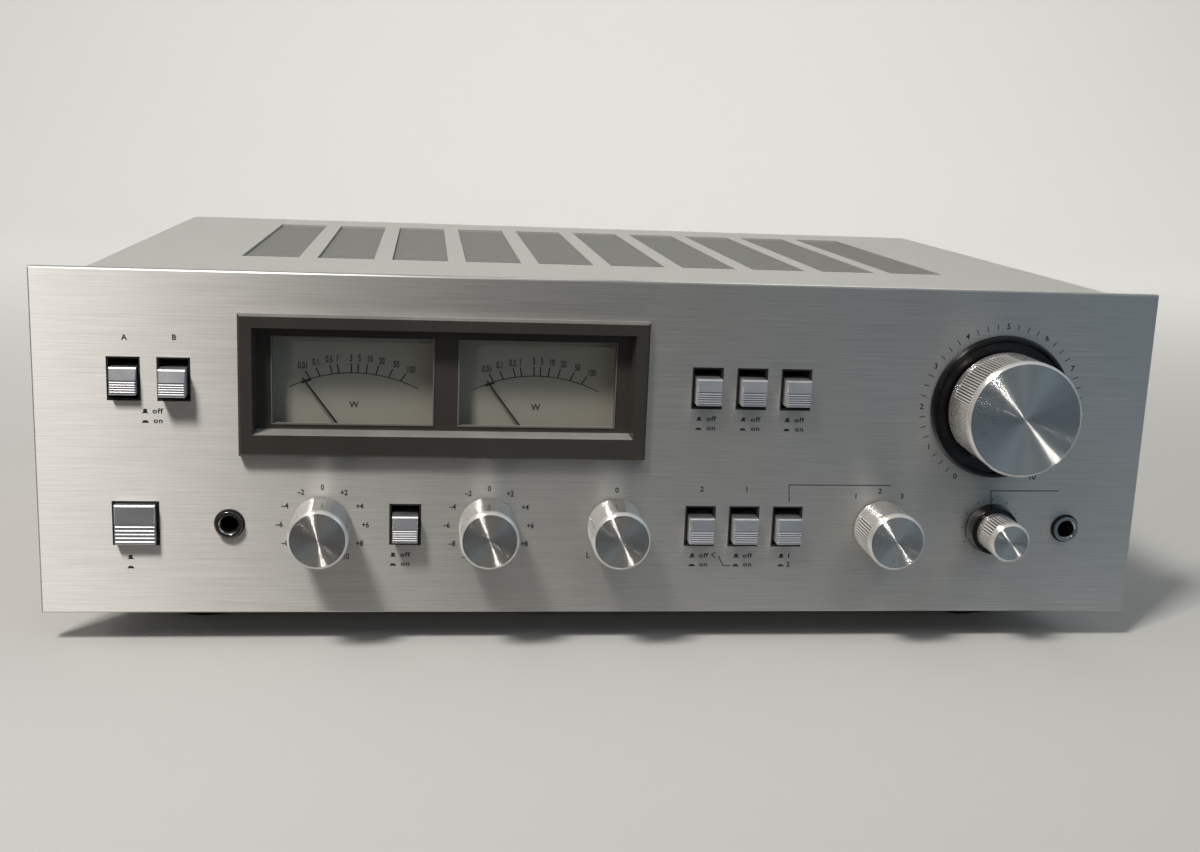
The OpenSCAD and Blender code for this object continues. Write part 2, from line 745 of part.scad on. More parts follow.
// One plate of the sub-chassis from x0 to x1 and z0 to z1, with a flange at the height fz
module sub_plate(x0, x1, z0, z1, fz) {
    translate([x0, sub_y, z0]) cube([x1 - x0, sheet_t, z1 - z0]);
    translate([x0 + 2 * sheet_t, sub_y, fz]) cube([x1 - x0 - 4 * sheet_t, sheet_t + sub_flange, sheet_t]);
}

// Folded plates behind the panel: one behind the meters and two below it, clear of both sockets
module front_subchassis() color("dimgray") placed() difference() {
    union() {
        sub_plate(-inner_w / 2, inner_w / 2, sub_split, inner_top, inner_top - sheet_t);
        sub_plate(-inner_w / 2, phones_x - jack_room, floor_z, sub_split - case_fit, floor_z);
        sub_plate(phones_x + jack_room, mic_jack_x - jack_room, floor_z, sub_split - case_fit, floor_z);
    }
    for (x = meter_xs)
        bar(x, meter_z, meter_w + 2 * meter_room, meter_h + 2 * meter_room, sub_y - eps, sub_back + eps);
    for (b = all_buttons)
        bar(b[0], b[1], stem_w + 4 * stem_fit, stem_w + 4 * stem_fit, sub_y - eps, sub_back + eps);
    for (s = shafts) rod(s[0], s[1], bush_d / 2 + bush_fit, sub_y - eps, sub_back + eps);
}

// Floor of the case with a flange along each side, posts for the board and slots for air
module chassis_base() color("darkgray") placed() difference() {
    union() {
        translate([-inner_w / 2, sub_y, base_z]) cube([inner_w, rear_y - sub_y, sheet_t]);
        for (x = [-inner_w / 2, inner_w / 2 - sheet_t])
            translate([x, sub_back, base_z]) cube([sheet_t, rear_y - sub_back, flange_h]);
        for (p = board_posts) translate([p[0], p[1], base_z])
            cylinder(h = sheet_t + board_post_h, d = board_post_d);
    }
    for (p = foot_places) translate([p[0], p[1], base_z - eps])
        cylinder(h = sheet_t + 2 * eps, r = screw_hole_r);
    for (x = [-inner_w / 2, inner_w / 2], y = cover_screw_ys)
        translate([x, y, flange_screw_z]) rotate([0, 90, 0])
            cylinder(h = 4 * sheet_t, r = screw_hole_r, center = true);
    for (i = [0:floor_slots - 1])
        translate([floor_slot_x + i * floor_slot_pitch, floor_slot_y, base_z - eps])
            cube([floor_slot_w, floor_slot_l, sheet_t + 2 * eps]);
}

module rear_panel() color("gray") placed() difference() {
    bar(0, (base_z + inner_top) / 2, inner_w, inner_top - base_z, rear_y, case_d);
    for (p = phono_places) rod(p[0], p[1], phono_d / 2 + screw_fit, rear_y - eps, case_d + eps);
    bar(strip_x, strip_z, strip_w - 2 * strip_lap, strip_h - 2 * strip_lap, rear_y - eps, case_d + eps);
    rod(ground_x, phono_z, ground_d / 2 + screw_fit, rear_y - eps, case_d + eps);
    rod(gland_x, gland_z, gland_d / 2, rear_y - eps, case_d + eps);
}

// Flat side walls between the cover's lips and the chassis
module side_plates() color("#a9a79f") placed() for (s = [-1, 1]) difference() {
    translate([(s * (shell_w - sheet_t) - sheet_t) / 2, panel_t, base_z])
        cube([sheet_t, case_d - panel_t, side_top - base_z]);
    for (y = cover_screw_ys, z = [flange_screw_z, lip_screw_z]) translate([s * shell_w / 2, y, z])
        rotate([0, 90, 0]) cylinder(h = 4 * sheet_t, r = screw_hole_r, center = true);
}

// Vented sheet with a bent lip along each side
module top_cover() color("#a9a79f") placed() difference() {
    translate([0, case_d, panel_h - lip_h]) rotate([90, 0, 0]) linear_extrude(case_d - panel_t) difference() {
        round_top(cover_w, lip_h, cover_bend);
        translate([0, -eps]) round_top(cover_w - 2 * cover_t, lip_h - cover_t + eps, cover_bend - cover_t);
    }
    for (x = vent_xs) translate([x - vent_w / 2, vent_y, panel_h - cover_t - eps])
        cube([vent_w, vent_l, cover_t + 2 * eps]);
    for (s = [-1, 1], y = cover_screw_ys) translate([s * cover_w / 2, y, lip_screw_z])
        rotate([0, 90, 0]) cylinder(h = 4 * cover_t, r = screw_hole_r, center = true);
}

// Plate with cross slits that shows in the vent fields
module vent_grille() color("#5f5e5a") placed()
    translate([0, vent_y, panel_h - cover_t - grille_t]) linear_extrude(grille_t) difference() {
        translate([vent_xs[0] - vent_w / 2 - grille_lap, -grille_lap])
            square([vent_span + 2 * grille_lap, vent_l + 2 * grille_lap]);
        for (x = vent_xs, i = [0:slits - 1])
            translate([x - vent_w / 2, slit_start + i * slit_pitch]) square([vent_w, slit_w]);
    }

// Screw into the side of the case, with its head on the plane x = s * w / 2
module side_screw(s, w, y, z, l) translate([s * w / 2, y, z]) rotate([0, s * 90, 0]) {
    cylinder(h = screw_head_h, d1 = screw_head_d, d2 = screw_head_d - screw_head_h);
    translate([0, 0, -l]) cylinder(h = l, r = screw_r);
}

module cover_screws() color("black") placed() for (s = [-1, 1], y = cover_screw_ys) {
    side_screw(s, cover_w, y, lip_screw_z, lip_screw_l);
    side_screw(s, shell_w, y, flange_screw_z, flange_screw_l);
}

module feet() color("#1b1b1b") placed() for (p = foot_places)
    translate([p[0], p[1], base_z - foot_h]) rotate_extrude() polygon([
        [screw_hole_r, foot_h - foot_web], [foot_recess_d / 2, foot_h - foot_web], [foot_recess_d / 2, 0],
        [(foot_d - foot_taper) / 2, 0], [foot_d / 2, foot_h], [screw_hole_r, foot_h]
    ]);

module foot_screws() color("gray") placed() for (p = foot_places)
    translate([p[0], p[1], base_z - foot_web]) {
        translate([0, 0, -screw_head_h]) cylinder(h = screw_head_h, d = screw_head_d);
        cylinder(h = foot_web + sheet_t + screw_d, r = screw_r);
    }

// Meters

// Deep frame with leaning inner walls and a web with two windows
module meter_bezel() color("#3b3632") placed() difference() {
    union() {
        taper_bar(bezel_x, bezel_z, bezel_w - 2 * bezel_edge, bezel_h - 2 * bezel_edge, -bezel_out,
            bezel_w, bezel_h, bezel_edge - bezel_out);
        bar(bezel_x, bezel_z, bezel_w, bezel_h, bezel_edge - bezel_out, 0);
        bar(bezel_x, open_z, skirt_w, skirt_h, -eps, web_back);
    }
    taper_bar(bezel_x, open_z, open_w + 2 * lean_step, open_h + 2 * lean_step, -bezel_out - eps,
        open_w - 2 * recess_lean, open_h - 2 * recess_lean, web_y);
    for (x = meter_xs) bar(x, window_z, window_w, window_h, web_y - eps, web_back + eps);
}

// Open case with ears on the sub-chassis, a magnet yoke, a pivot pin and posts for the dial plate
module meter_bodies() color("#161616") placed() for (x = meter_xs) {
    difference() {
        bar(x, meter_z, meter_w, meter_h, meter_y, meter_back);
        bar(x, meter_z, meter_w - 2 * meter_wall, meter_h - 2 * meter_wall, meter_y - eps,
            meter_back - meter_wall);
        rod(x, lamp_z, lamp_d / 2 + screw_fit, meter_y, meter_back + eps);
    }
    for (s = [-1, 1]) {
        bar(x, meter_z + s * (meter_h + ear_h - eps) / 2, ear_w, ear_h + eps, sub_y - ear_t, sub_y);
        bar(x + s * dial_w / 3, (window_z + dial_top) / 2, dial_post, dial_post, dial_y + dial_t, meter_back);
    }
    bar(x, pivot_z + yoke_h / 2 - hub_d / 2, yoke_w, yoke_h, meter_y + eps, meter_back);
    rod(x, pivot_z, pivot_d / 2, lens_y + lens_t + pivot_end, meter_y + 2 * eps);
}

// Clear tray that closes the front of each meter
module meter_covers() color([0.85, 0.9, 0.9, 0.3]) placed() for (x = meter_xs) difference() {
    bar(x, meter_z, meter_w, meter_h, lens_y, meter_y);
    bar(x, meter_z, lens_in_w, meter_h - 2 * lens_t, lens_y + lens_t, meter_y + eps);
}

module dial_plates() color("#9b968c") placed() for (x = meter_xs)
    bar(x, (dial_bottom + dial_top) / 2, dial_w, dial_top - dial_bottom, dial_y, dial_y + dial_t);

module meter_lamps() color("ivory") placed() for (x = meter_xs) {
    rod(x, lamp_z, lamp_d / 2, meter_back - lamp_l, meter_back + lamp_l);
    rod(x, lamp_z, lamp_d / 2 + lamp_flange, meter_back, meter_back + lamp_flange);
}

// Needle with a hub on the pivot pin and a short counterweight
module needle(x) color("black") placed() translate([x, needle_y, pivot_z]) rotate([0, needle_rest, 0])
    difference() {
        union() {
            rod(0, 0, hub_d / 2, -hub_l / 2, hub_l / 2);
            translate([-needle_w / 2, -needle_t / 2, 0]) cube([needle_w, needle_t, needle_l]);
            translate([-needle_tail_w / 2, -needle_t / 2, -needle_tail])
                cube([needle_tail_w, needle_t, needle_tail]);
        }
        rod(0, 0, pivot_d / 2 + shaft_fit, -hub_l, hub_l);
    }

// Buttons

// Cap with a chamfered face and cross grooves on its lower half, and a square stem behind it
module push_button(b) color("#9a9ba0") placed() translate([b[0], -b[3], b[1]]) {
    w = b[2][0];
    h = b[2][1];
    sag = b[2][7];
    groove_pitch = (h * (1 - plain_share) - plain_foot) / grooves;
    groove_w = groove_pitch * groove_share;
    groove_top = h / 2 - h * plain_share;
    translate([0, 0, -sag]) intersection() {
        translate([-w / 2, 0, 0]) rotate([90, 0, 90]) linear_extrude(w) polygon(concat(
            [[cap_l, -h / 2], [cap_l, h / 2], [cap_edge, h / 2], [0, h / 2 - cap_edge]],
            [for (i = [0:grooves - 1], k = [0:2])
                [k == 1 ? groove_d : 0, groove_top - i * groove_pitch - k * groove_w / 2]],
            [[0, cap_edge - h / 2], [cap_edge, -h / 2]]
        ));
        translate([0, 0, -h / 2]) linear_extrude(h) polygon([
            [-w / 2, cap_l], [-w / 2, cap_edge], [cap_edge - w / 2, 0],
            [w / 2 - cap_edge, 0], [w / 2, cap_edge], [w / 2, cap_l]
        ]);
    }
    bar(0, 0, stem_w, stem_w, cap_l - eps, cap_l + stem_l);
}

// Black cups that line the button holes and end on the sub-chassis
module button_guides() color("black") placed() for (b = all_buttons) {
    w = b[2][2] - 2 * guide_fit;
    h = b[2][3] - 2 * guide_fit;
    difference() {
        bar(b[0], b[1], w, h, guide_set, sub_y);
        bar(b[0], b[1], w - 2 * guide_wall, h - 2 * guide_wall, guide_set - eps, sub_y - guide_back);
        bar(b[0], b[1], stem_w + 2 * stem_fit, stem_w + 2 * stem_fit, sub_y - 2 * eps, sub_y + eps);
    }
}

module switch_body(b) difference() {
    bar(b[0], b[1], b[2][4], b[2][5], sub_back, sub_back + b[2][6]);
    bar(b[0], b[1], stem_w + 2 * stem_fit, stem_w + 2 * stem_fit, sub_back - eps,
        sub_back + stem_in + button_travel + stem_end);
}

module push_switches() color("#6b5a3c") placed() for (b = small_buttons) switch_body(b);

module power_switch() color("#2a2a2a") placed() switch_body(power);

// Knobs

// Turned knob from y = -foot to y = -reach, with a pointer flat and two fluted sectors
module turned_knob(x, z, d, foot, reach, angle) {
    r = d / 2;
    l = reach - foot;
    flat_y = r * cos(flat_foot / 2);
    flat_slope = atan(r * (cos(flat_face / 2) - cos(flat_foot / 2)) / l);
    flute_step = flute_pitch / r * 180 / PI;
    placed() translate([x, -foot, z]) rotate([90, 0, 0]) rotate([0, 0, -angle]) difference() {
        rotate_extrude() polygon([
            [bush_bore_r, 0], [r, 0], [r, l - knob_edge], [r - knob_edge, l], [0, l],
            [0, bore_l], [bush_bore_r, bore_l]
        ]);
        translate([-r, flat_y, 0]) rotate([-flat_slope, 0, 0]) translate([0, 0, -l]) cube([2 * r, r, 3 * l]);
        for (s = [-1, 1], a = [grip_from:flute_step:grip_to])
            rotate([0, 0, s * a]) translate([0, r, grip_foot]) linear_extrude(l - grip_foot - grip_head)
                polygon([[0, -flute_d], [flute_w, flute_d / 4], [-flute_w, flute_d / 4]]);
    }
}

module volume_knob() color("silver")
    turned_knob(volume_x, volume_z, volume_d, volume_foot, volume_reach, level_rest);

module small_knob(x, angle) color("silver") turned_knob(x, low_row, knob_d, knob_gap, knob_reach, angle);

module mic_knob() color("silver") turned_knob(mic_x, low_row, mic_d, mic_foot, knob_reach, level_rest);

module control_shaft(x, z, foot) color("silver") placed()
    rod(x, z, shaft_r, bore_end - foot - bore_l, sub_back + shaft_in);

// Black collar under the cap of the microphone knob
module mic_skirt() color("#151515") placed() turned(mic_x, low_row, [
    [bush_bore_r, -knob_gap], [bush_bore_r, -mic_foot], [(mic_skirt_d - mic_skirt_taper) / 2, -mic_foot],
    [mic_skirt_d / 2, -knob_gap]
]);

// Ring with a raised rim that slopes both ways
module volume_ring() color("#101014") placed() turned(volume_x, volume_z, [
    [ring_hole_d / 2, 0], [ring_hole_d / 2, -ring_floor],
    [ring_d / 2 - ring_rim - 2 * ring_slope, -ring_floor],
    [ring_d / 2 - ring_rim - ring_slope, -ring_h], [ring_d / 2 - ring_slope, -ring_h], [ring_d / 2, 0]
]);

// Controls behind the panel

// Bush through the sub-chassis with its nut, bored for the shaft
module bush(p) {
    difference() {
        rod(p[0], p[1], bush_d / 2, sub_y - bush_l, sub_back);
        rod(p[0], p[1], bush_bore_r, sub_y - bush_l - eps, sub_back + eps);
    }
    translate([p[0], sub_y - nut_t, p[1]]) rotate([-90, 0, 0]) difference() {
        cylinder(h = nut_t, d = nut_af / cos(30), $fn = 6);
        translate([0, 0, -eps]) cylinder(h = nut_t + 2 * eps, d = bush_d);
    }
}

module pot(p, d, l) {
    bush(p);
    difference() {
        rod(p[0], p[1], d / 2, sub_back, sub_back + l);
        rod(p[0], p[1], bush_bore_r, sub_back - eps, sub_back + shaft_in + shaft_fit + stem_end);
    }
}

module control_pots() color("#8a8a86") placed() {
    for (p = pots) pot(p, pot_d, pot_l);
    pot([volume_x, volume_z], volume_pot_d, volume_pot_l);
}

// Index case with wafers stacked on two tie rods behind it
module selector_switch() color("#7d6a45") placed() {
    pot([selector_x, low_row], index_d, pot_l);
    for (i = [1:wafers]) rod(selector_x, low_row, wafer_d / 2, sub_back + pot_l + i * wafer_pitch - wafer_t,
        sub_back + pot_l + i * wafer_pitch);
    for (s = [-1, 1]) rod(selector_x + s * index_d / 3, low_row, screw_r, sub_back + pot_l - eps,
        sub_back + pot_l + wafers * wafer_pitch);
}

// Sockets

module jack(x) color("#1a1a1a") placed() difference() {
    union() {
        rod(x, low_row, collar_r, -collar_out, panel_t + eps);
        bar(x, low_row, jack_w, jack_h, panel_t, jack_back);
    }
    rod(x, low_row, jack_bore_d / 2, -collar_out - eps, jack_back + eps);
}

module jack_nuts() color("gainsboro") placed() for (x = jack_xs) turned(x, low_row, [
    [jack_bore_d / 2 + collar_fit, -collar_out], [ring_nut_d / 2, -collar_out],
    [ring_nut_d / 2, -collar_out - ring_nut_t],
    [jack_bore_d / 2 + collar_fit + ring_nut_mouth, -collar_out - ring_nut_t]
]);

// Inside the case

// Window core on two feet, with the winding as a separate solid through its windows
module power_transformer() color("#4a4136") placed() translate([mains_x, case_d - mains_back, floor_z]) {
    leg = core_w / 2 - 2 * core_limb;
    difference() {
        union() {
            translate([-core_w / 2, -core_d / 2, 0]) cube([core_w, core_d, core_h]);
            translate([-core_w / 2 - core_foot, -core_d / 2, 0])
                cube([core_w + 2 * core_foot, core_d, core_foot_t]);
        }
        for (s = [-1, 1]) translate([s * (leg / 2 + core_limb) - leg / 2, -core_d / 2 - eps, core_limb])
            cube([leg, core_d + 2 * eps, core_h - 2 * core_limb]);
    }
    difference() {
        translate([-core_limb - leg + coil_fit, -core_d / 2 - coil_bulge, core_limb + coil_fit])
            cube([2 * (core_limb + leg - coil_fit), core_d + 2 * coil_bulge,
                core_h - 2 * core_limb - 2 * coil_fit]);
        translate([-core_limb - coil_fit, -core_d / 2 - coil_fit, 0])
            cube([2 * (core_limb + coil_fit), core_d + 2 * coil_fit, core_h]);
    }
}

module filter_capacitors() color("#2c4a6b") placed() for (s = [-1, 1])
    translate([cap_x, case_d - mains_back + s * cap_pitch / 2, floor_z]) rotate_extrude() polygon([
        [0, 0], [cap_d / 2, 0], [cap_d / 2, cap_h], [cap_d / 2 - cap_rim, cap_h],
        [cap_d / 2 - 2 * cap_rim, cap_h - cap_rim], [0, cap_h - cap_rim]
    ]);

// Comb of upright fins on a thick back
module heatsink() color("#202020") placed() translate([sink_x, sink_y, floor_z]) linear_extrude(sink_h) {
    square([sink_w, sink_back]);
    for (i = [0:fins - 1]) translate([i * (sink_w - fin_t) / (fins - 1), 0]) square([fin_t, sink_d]);
}

module power_transistors() color("lightgray") placed() for (i = [0:transistors - 1]) {
    x = sink_x + (i + 0.5) * sink_w / transistors;
    z = floor_z + sink_h / 2;
    bar(x, z, can_flange_w, can_d + 2 * can_flange_t, sink_y - can_flange_t, sink_y);
    rod(x, z, can_d / 2, sink_y - can_h, sink_y);
}

module amp_board() color("#3d5a33") placed()
    translate([board_x, board_y, floor_z + board_post_h]) cube([board_w, board_d, board_t]);

// Upright board behind the tone controls, with room for the tone switch
module control_board() color("#3d5a33") placed() difference() {
    translate([bass_x - control_margin, sub_back + pot_l, low_row - control_h / 2])
        cube([balance_x - bass_x + 2 * control_margin, board_t, control_h]);
    bar(tone_x, low_row, switch_w + 2 * control_room, switch_h + 2 * control_room, sub_back,
        sub_back + pot_l + board_t + eps);
}

// Rear panel pieces

module input_jacks() color("gainsboro") placed() for (p = phono_places) turned(p[0], p[1], [
    [0, rear_y - phono_in], [phono_d / 2, rear_y - phono_in], [phono_d / 2, case_d],
    [phono_flange_d / 2, case_d], [phono_flange_d / 2, case_d + phono_flange_t],
    [phono_d / 2, case_d + phono_flange_t], [phono_d / 2, phono_end],
    [phono_bore_d / 2, phono_end], [phono_bore_d / 2, case_d], [0, case_d]
]);

// Moulded strip with barriers between its terminals, and a screw in each terminal
module speaker_terminals() color("#191919") placed() {
    cell = (strip_w - barrier_t) / terminals;
    difference() {
        union() {
            bar(strip_x, strip_z, strip_w, strip_h, case_d, case_d + strip_t);
            bar(strip_x, strip_z, strip_w - 2 * strip_lap - 2 * screw_fit,
                strip_h - 2 * strip_lap - 2 * screw_fit, rear_y - strip_lap, case_d + eps);
            for (i = [0:terminals])
                bar(strip_x - strip_w / 2 + barrier_t / 2 + i * cell, strip_z, barrier_t, strip_h,
                    case_d, case_d + strip_out);
        }
        for (i = [0:terminals - 1]) rod(strip_x - strip_w / 2 + barrier_t / 2 + (i + 0.5) * cell, strip_z,
            screw_hole_r, case_d + strip_t - screw_d, case_d + strip_t + eps);
    }
    for (i = [0:terminals - 1]) {
        x = strip_x - strip_w / 2 + barrier_t / 2 + (i + 0.5) * cell;
        rod(x, strip_z, screw_r, case_d + strip_t - screw_d + stem_end, case_d + strip_t + eps);
        rod(x, strip_z, terminal_d / 2, case_d + strip_t, case_d + strip_t + terminal_h);
    }
}

// Stud through the rear panel with a thumb nut on it
module ground_post() color("goldenrod") placed() {
    rod(ground_x, phono_z, ground_d / 2, rear_y - screw_d, case_d + ground_out);
    rod(ground_x, phono_z, ground_d, rear_y - screw_d, rear_y);
    difference() {
        rod(ground_x, phono_z, ground_nut_d / 2, case_d, case_d + ground_nut_t);
        rod(ground_x, phono_z, ground_d / 2 + shaft_fit, case_d - eps, case_d + ground_nut_t + eps);
    }
}

// Rubber bush whose groove grips the edge of its hole in the rear panel
module cord_gland() color("#202020") placed() turned(gland_x, gland_z, [
    [gland_bore_d / 2, rear_y - gland_lip_t], [gland_d / 2 + gland_lip, rear_y - gland_lip_t],
    [gland_d / 2 + gland_lip, rear_y], [gland_d / 2, rear_y], [gland_d / 2, case_d],
    [gland_d / 2 + gland_lip, case_d], [gland_d / 2 + gland_lip, case_d + gland_lip_t / 2],
    [gland_d / 2 + gland_lip / 2, case_d + gland_lip_t], [gland_bore_d / 2, case_d + gland_lip_t]
]);

front_panel();
panel_posts();
front_subchassis();
chassis_base();
rear_panel();
side_plates();
top_cover();
vent_grille();
cover_screws();
feet();
foot_screws();
meter_bezel();
meter_bodies();
meter_covers();
dial_plates();
meter_lamps();
needle(meter_xs[0]);  // meter_needle_left
needle(meter_xs[1]);  // meter_needle_right
volume_ring();
button_guides();
push_switches();
power_switch();
push_button(speaker_a);  // speaker_a_button
push_button(speaker_b);  // speaker_b_button
push_button(power);  // power_button
push_button(tone);  // tone_button
push_button(filters[0]);  // subsonic_button
push_button(filters[1]);  // high_cut_button
push_button(filters[2]);  // loudness_button
push_button(tapes[0]);  // tape_two_button
push_button(tapes[1]);  // tape_one_button
push_button(tapes[2]);  // phono_button
volume_knob();
small_knob(bass_x, 0);  // bass_knob
small_knob(treble_x, 0);  // treble_knob
small_knob(balance_x, 0);  // balance_knob
small_knob(selector_x, selector_rest);  // selector_knob
mic_knob();
mic_skirt();
control_shaft(volume_x, volume_z, volume_foot);  // volume_shaft
control_shaft(bass_x, low_row, knob_gap);  // bass_shaft
control_shaft(treble_x, low_row, knob_gap);  // treble_shaft
control_shaft(balance_x, low_row, knob_gap);  // balance_shaft
control_shaft(selector_x, low_row, knob_gap);  // selector_shaft
control_shaft(mic_x, low_row, mic_foot);  // mic_shaft
control_pots();
selector_switch();
jack(phones_x);  // phones_jack
jack(mic_jack_x);  // mic_jack
jack_nuts();
power_transformer();
filter_capacitors();
heatsink();
power_transistors();
amp_board();
control_board();
input_jacks();
speaker_terminals();
ground_post();
cord_gland();
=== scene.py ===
import math
import bmesh
import bpy
import numpy as np
from mathutils import Matrix, Vector


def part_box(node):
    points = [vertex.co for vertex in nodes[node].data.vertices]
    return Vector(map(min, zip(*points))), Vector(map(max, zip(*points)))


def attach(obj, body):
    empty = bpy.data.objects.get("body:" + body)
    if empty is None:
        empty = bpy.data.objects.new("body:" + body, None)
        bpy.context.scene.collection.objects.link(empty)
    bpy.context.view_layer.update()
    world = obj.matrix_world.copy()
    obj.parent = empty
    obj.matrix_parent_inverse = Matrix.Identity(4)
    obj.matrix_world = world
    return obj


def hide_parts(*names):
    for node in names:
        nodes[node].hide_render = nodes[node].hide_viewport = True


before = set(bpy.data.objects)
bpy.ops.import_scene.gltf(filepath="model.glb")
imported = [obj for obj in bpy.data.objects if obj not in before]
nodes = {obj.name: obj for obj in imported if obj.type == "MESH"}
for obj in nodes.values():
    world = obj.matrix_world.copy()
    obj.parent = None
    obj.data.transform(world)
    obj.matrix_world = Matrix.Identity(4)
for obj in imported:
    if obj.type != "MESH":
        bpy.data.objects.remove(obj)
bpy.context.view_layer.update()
mm = 0.001

# Places are in panel millimetres: x from the panel's middle, y from its face into the case, z from its lower edge
panelLow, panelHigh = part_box("front_panel")
panelOrigin = np.array([(panelLow.x + panelHigh.x) / 2, panelLow.y, panelLow.z])


def onPanel(points):
    # panel millimetres to the frame's metres
    return np.asarray(points, float) * mm + panelOrigin


def nodeEdges(node):
    # lowest and highest corner of a node's box in panel millimetres
    low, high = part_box(node)
    return (np.array(low) - panelOrigin) / mm, (np.array(high) - panelOrigin) / mm


def nodeCentre(node):
    # middle of a node's box in panel millimetres
    low, high = nodeEdges(node)
    return (low + high) / 2


# Camera fitted to the photograph: aim is yaw about z, then pitch, then roll about the view line
cameraSet = {
    "place": (-71.85, -530.04, 188.58),
    "yaw": 0.1246, "pitch": -0.2107, "roll": 0.0400,
    "focalPixels": 1437.8, "imageWidth": 1200.0, "sensor": 36.0, "nearest": 0.01,
}


def makeCamera(c):
    # ahead comes from yaw and pitch; right starts level with the ground and turns with up by roll
    cosY, sinY = math.cos(c["yaw"]), math.sin(c["yaw"])
    cosP, sinP = math.cos(c["pitch"]), math.sin(c["pitch"])
    cosR, sinR = math.cos(c["roll"]), math.sin(c["roll"])
    ahead = Vector((sinY * cosP, cosY * cosP, sinP))
    flat = Vector((cosY, -sinY, 0.0))
    level = flat.cross(ahead)
    right, up = flat * cosR + level * sinR, level * cosR - flat * sinR
    data = bpy.data.cameras.new("camera")
    data.sensor_fit = "HORIZONTAL"
    data.sensor_width = c["sensor"]
    data.lens = c["focalPixels"] / c["imageWidth"] * c["sensor"]
    data.clip_start = c["nearest"]
    camera = bpy.data.objects.new("camera", data)
    turn = Matrix((right, up, -ahead)).transposed().to_4x4()
    camera.matrix_world = Matrix.Translation(Vector(onPanel(c["place"]))) @ turn
    bpy.context.scene.collection.objects.link(camera)
    bpy.context.scene.camera = camera


makeCamera(cameraSet)
print("camera placed")


class Wire:
    # one shader socket; the operators add Math nodes
    def __init__(self, sheet, socket):
        self.sheet, self.socket = sheet, socket

    def sums(self, operation, *values):
        # one Math node
        return self.sheet.node("ShaderNodeMath", {"operation": operation}, dict(enumerate(values)))

    def __add__(self, other): return self.sums("ADD", self, other)
    def __sub__(self, other): return self.sums("SUBTRACT", self, other)
    def __rsub__(self, other): return self.sums("SUBTRACT", other, self)
    def __mul__(self, other): return self.sums("MULTIPLY", self, other)
    def __truediv__(self, other): return self.sums("DIVIDE", self, other)
    def __pow__(self, other): return self.sums("POWER", self, other)


class Sheet:
    # one node tree and short ways to add nodes to it
    def __init__(self, tree):
        self.tree = tree
        tree.nodes.clear()

    def fill(self, socket, value):
        # links a wire or sets a plain value; a colour gets an alpha of 1
        if isinstance(value, Wire):
            self.tree.links.new(value.socket, socket)
        elif isinstance(value, tuple) and len(value) == 3 and socket.type == "RGBA":
            socket.default_value = (*value, 1)
        else:
            socket.default_value = value

    def node(self, kind, settings=None, values=None, out=0):
        # adds a node with its settings and inputs, and gives one of its outputs
        made = self.tree.nodes.new(kind)
        for key, value in (settings or {}).items():
            setattr(made, key, value)
        for key, value in (values or {}).items():
            self.fill(made.inputs[key], value)
        return Wire(self, made.outputs[out])

    def vector(self, operation, first, second=None, scale=None, out=0):
        # one Vector Math node
        values = {0: first}
        if second is not None:
            values[1] = second
        if scale is not None:
            values["Scale"] = scale
        return self.node("ShaderNodeVectorMath", {"operation": operation}, values, out)

    def split(self, vector, axis):
        # one part of a vector
        return self.node("ShaderNodeSeparateXYZ", values={0: vector}, out=axis)

    def span(self, factor, low, high, first, last):
        # goes from first to last while factor goes from low to high, and stays inside
        return self.node("ShaderNodeMapRange", {"clamp": True},
                         {"Value": factor, "From Min": low, "From Max": high, "To Min": first, "To Max": last})

    def blend(self, factor, dark, light):
        # colour from dark to light while factor goes from 0 to 1
        made = self.tree.nodes.new("ShaderNodeMix")
        made.data_type = "RGBA"
        for index, value in ((0, factor), (6, dark), (7, light)):
            self.fill(made.inputs[index], value)
        return Wire(self, made.outputs[2])


# Most values of a noise texture lie between these two
usualNoise = (0.3, 0.7)


def shade(colour, factor):
    # colour times factor, at most 1
    return tuple(min(1.0, c * factor) for c in colour)


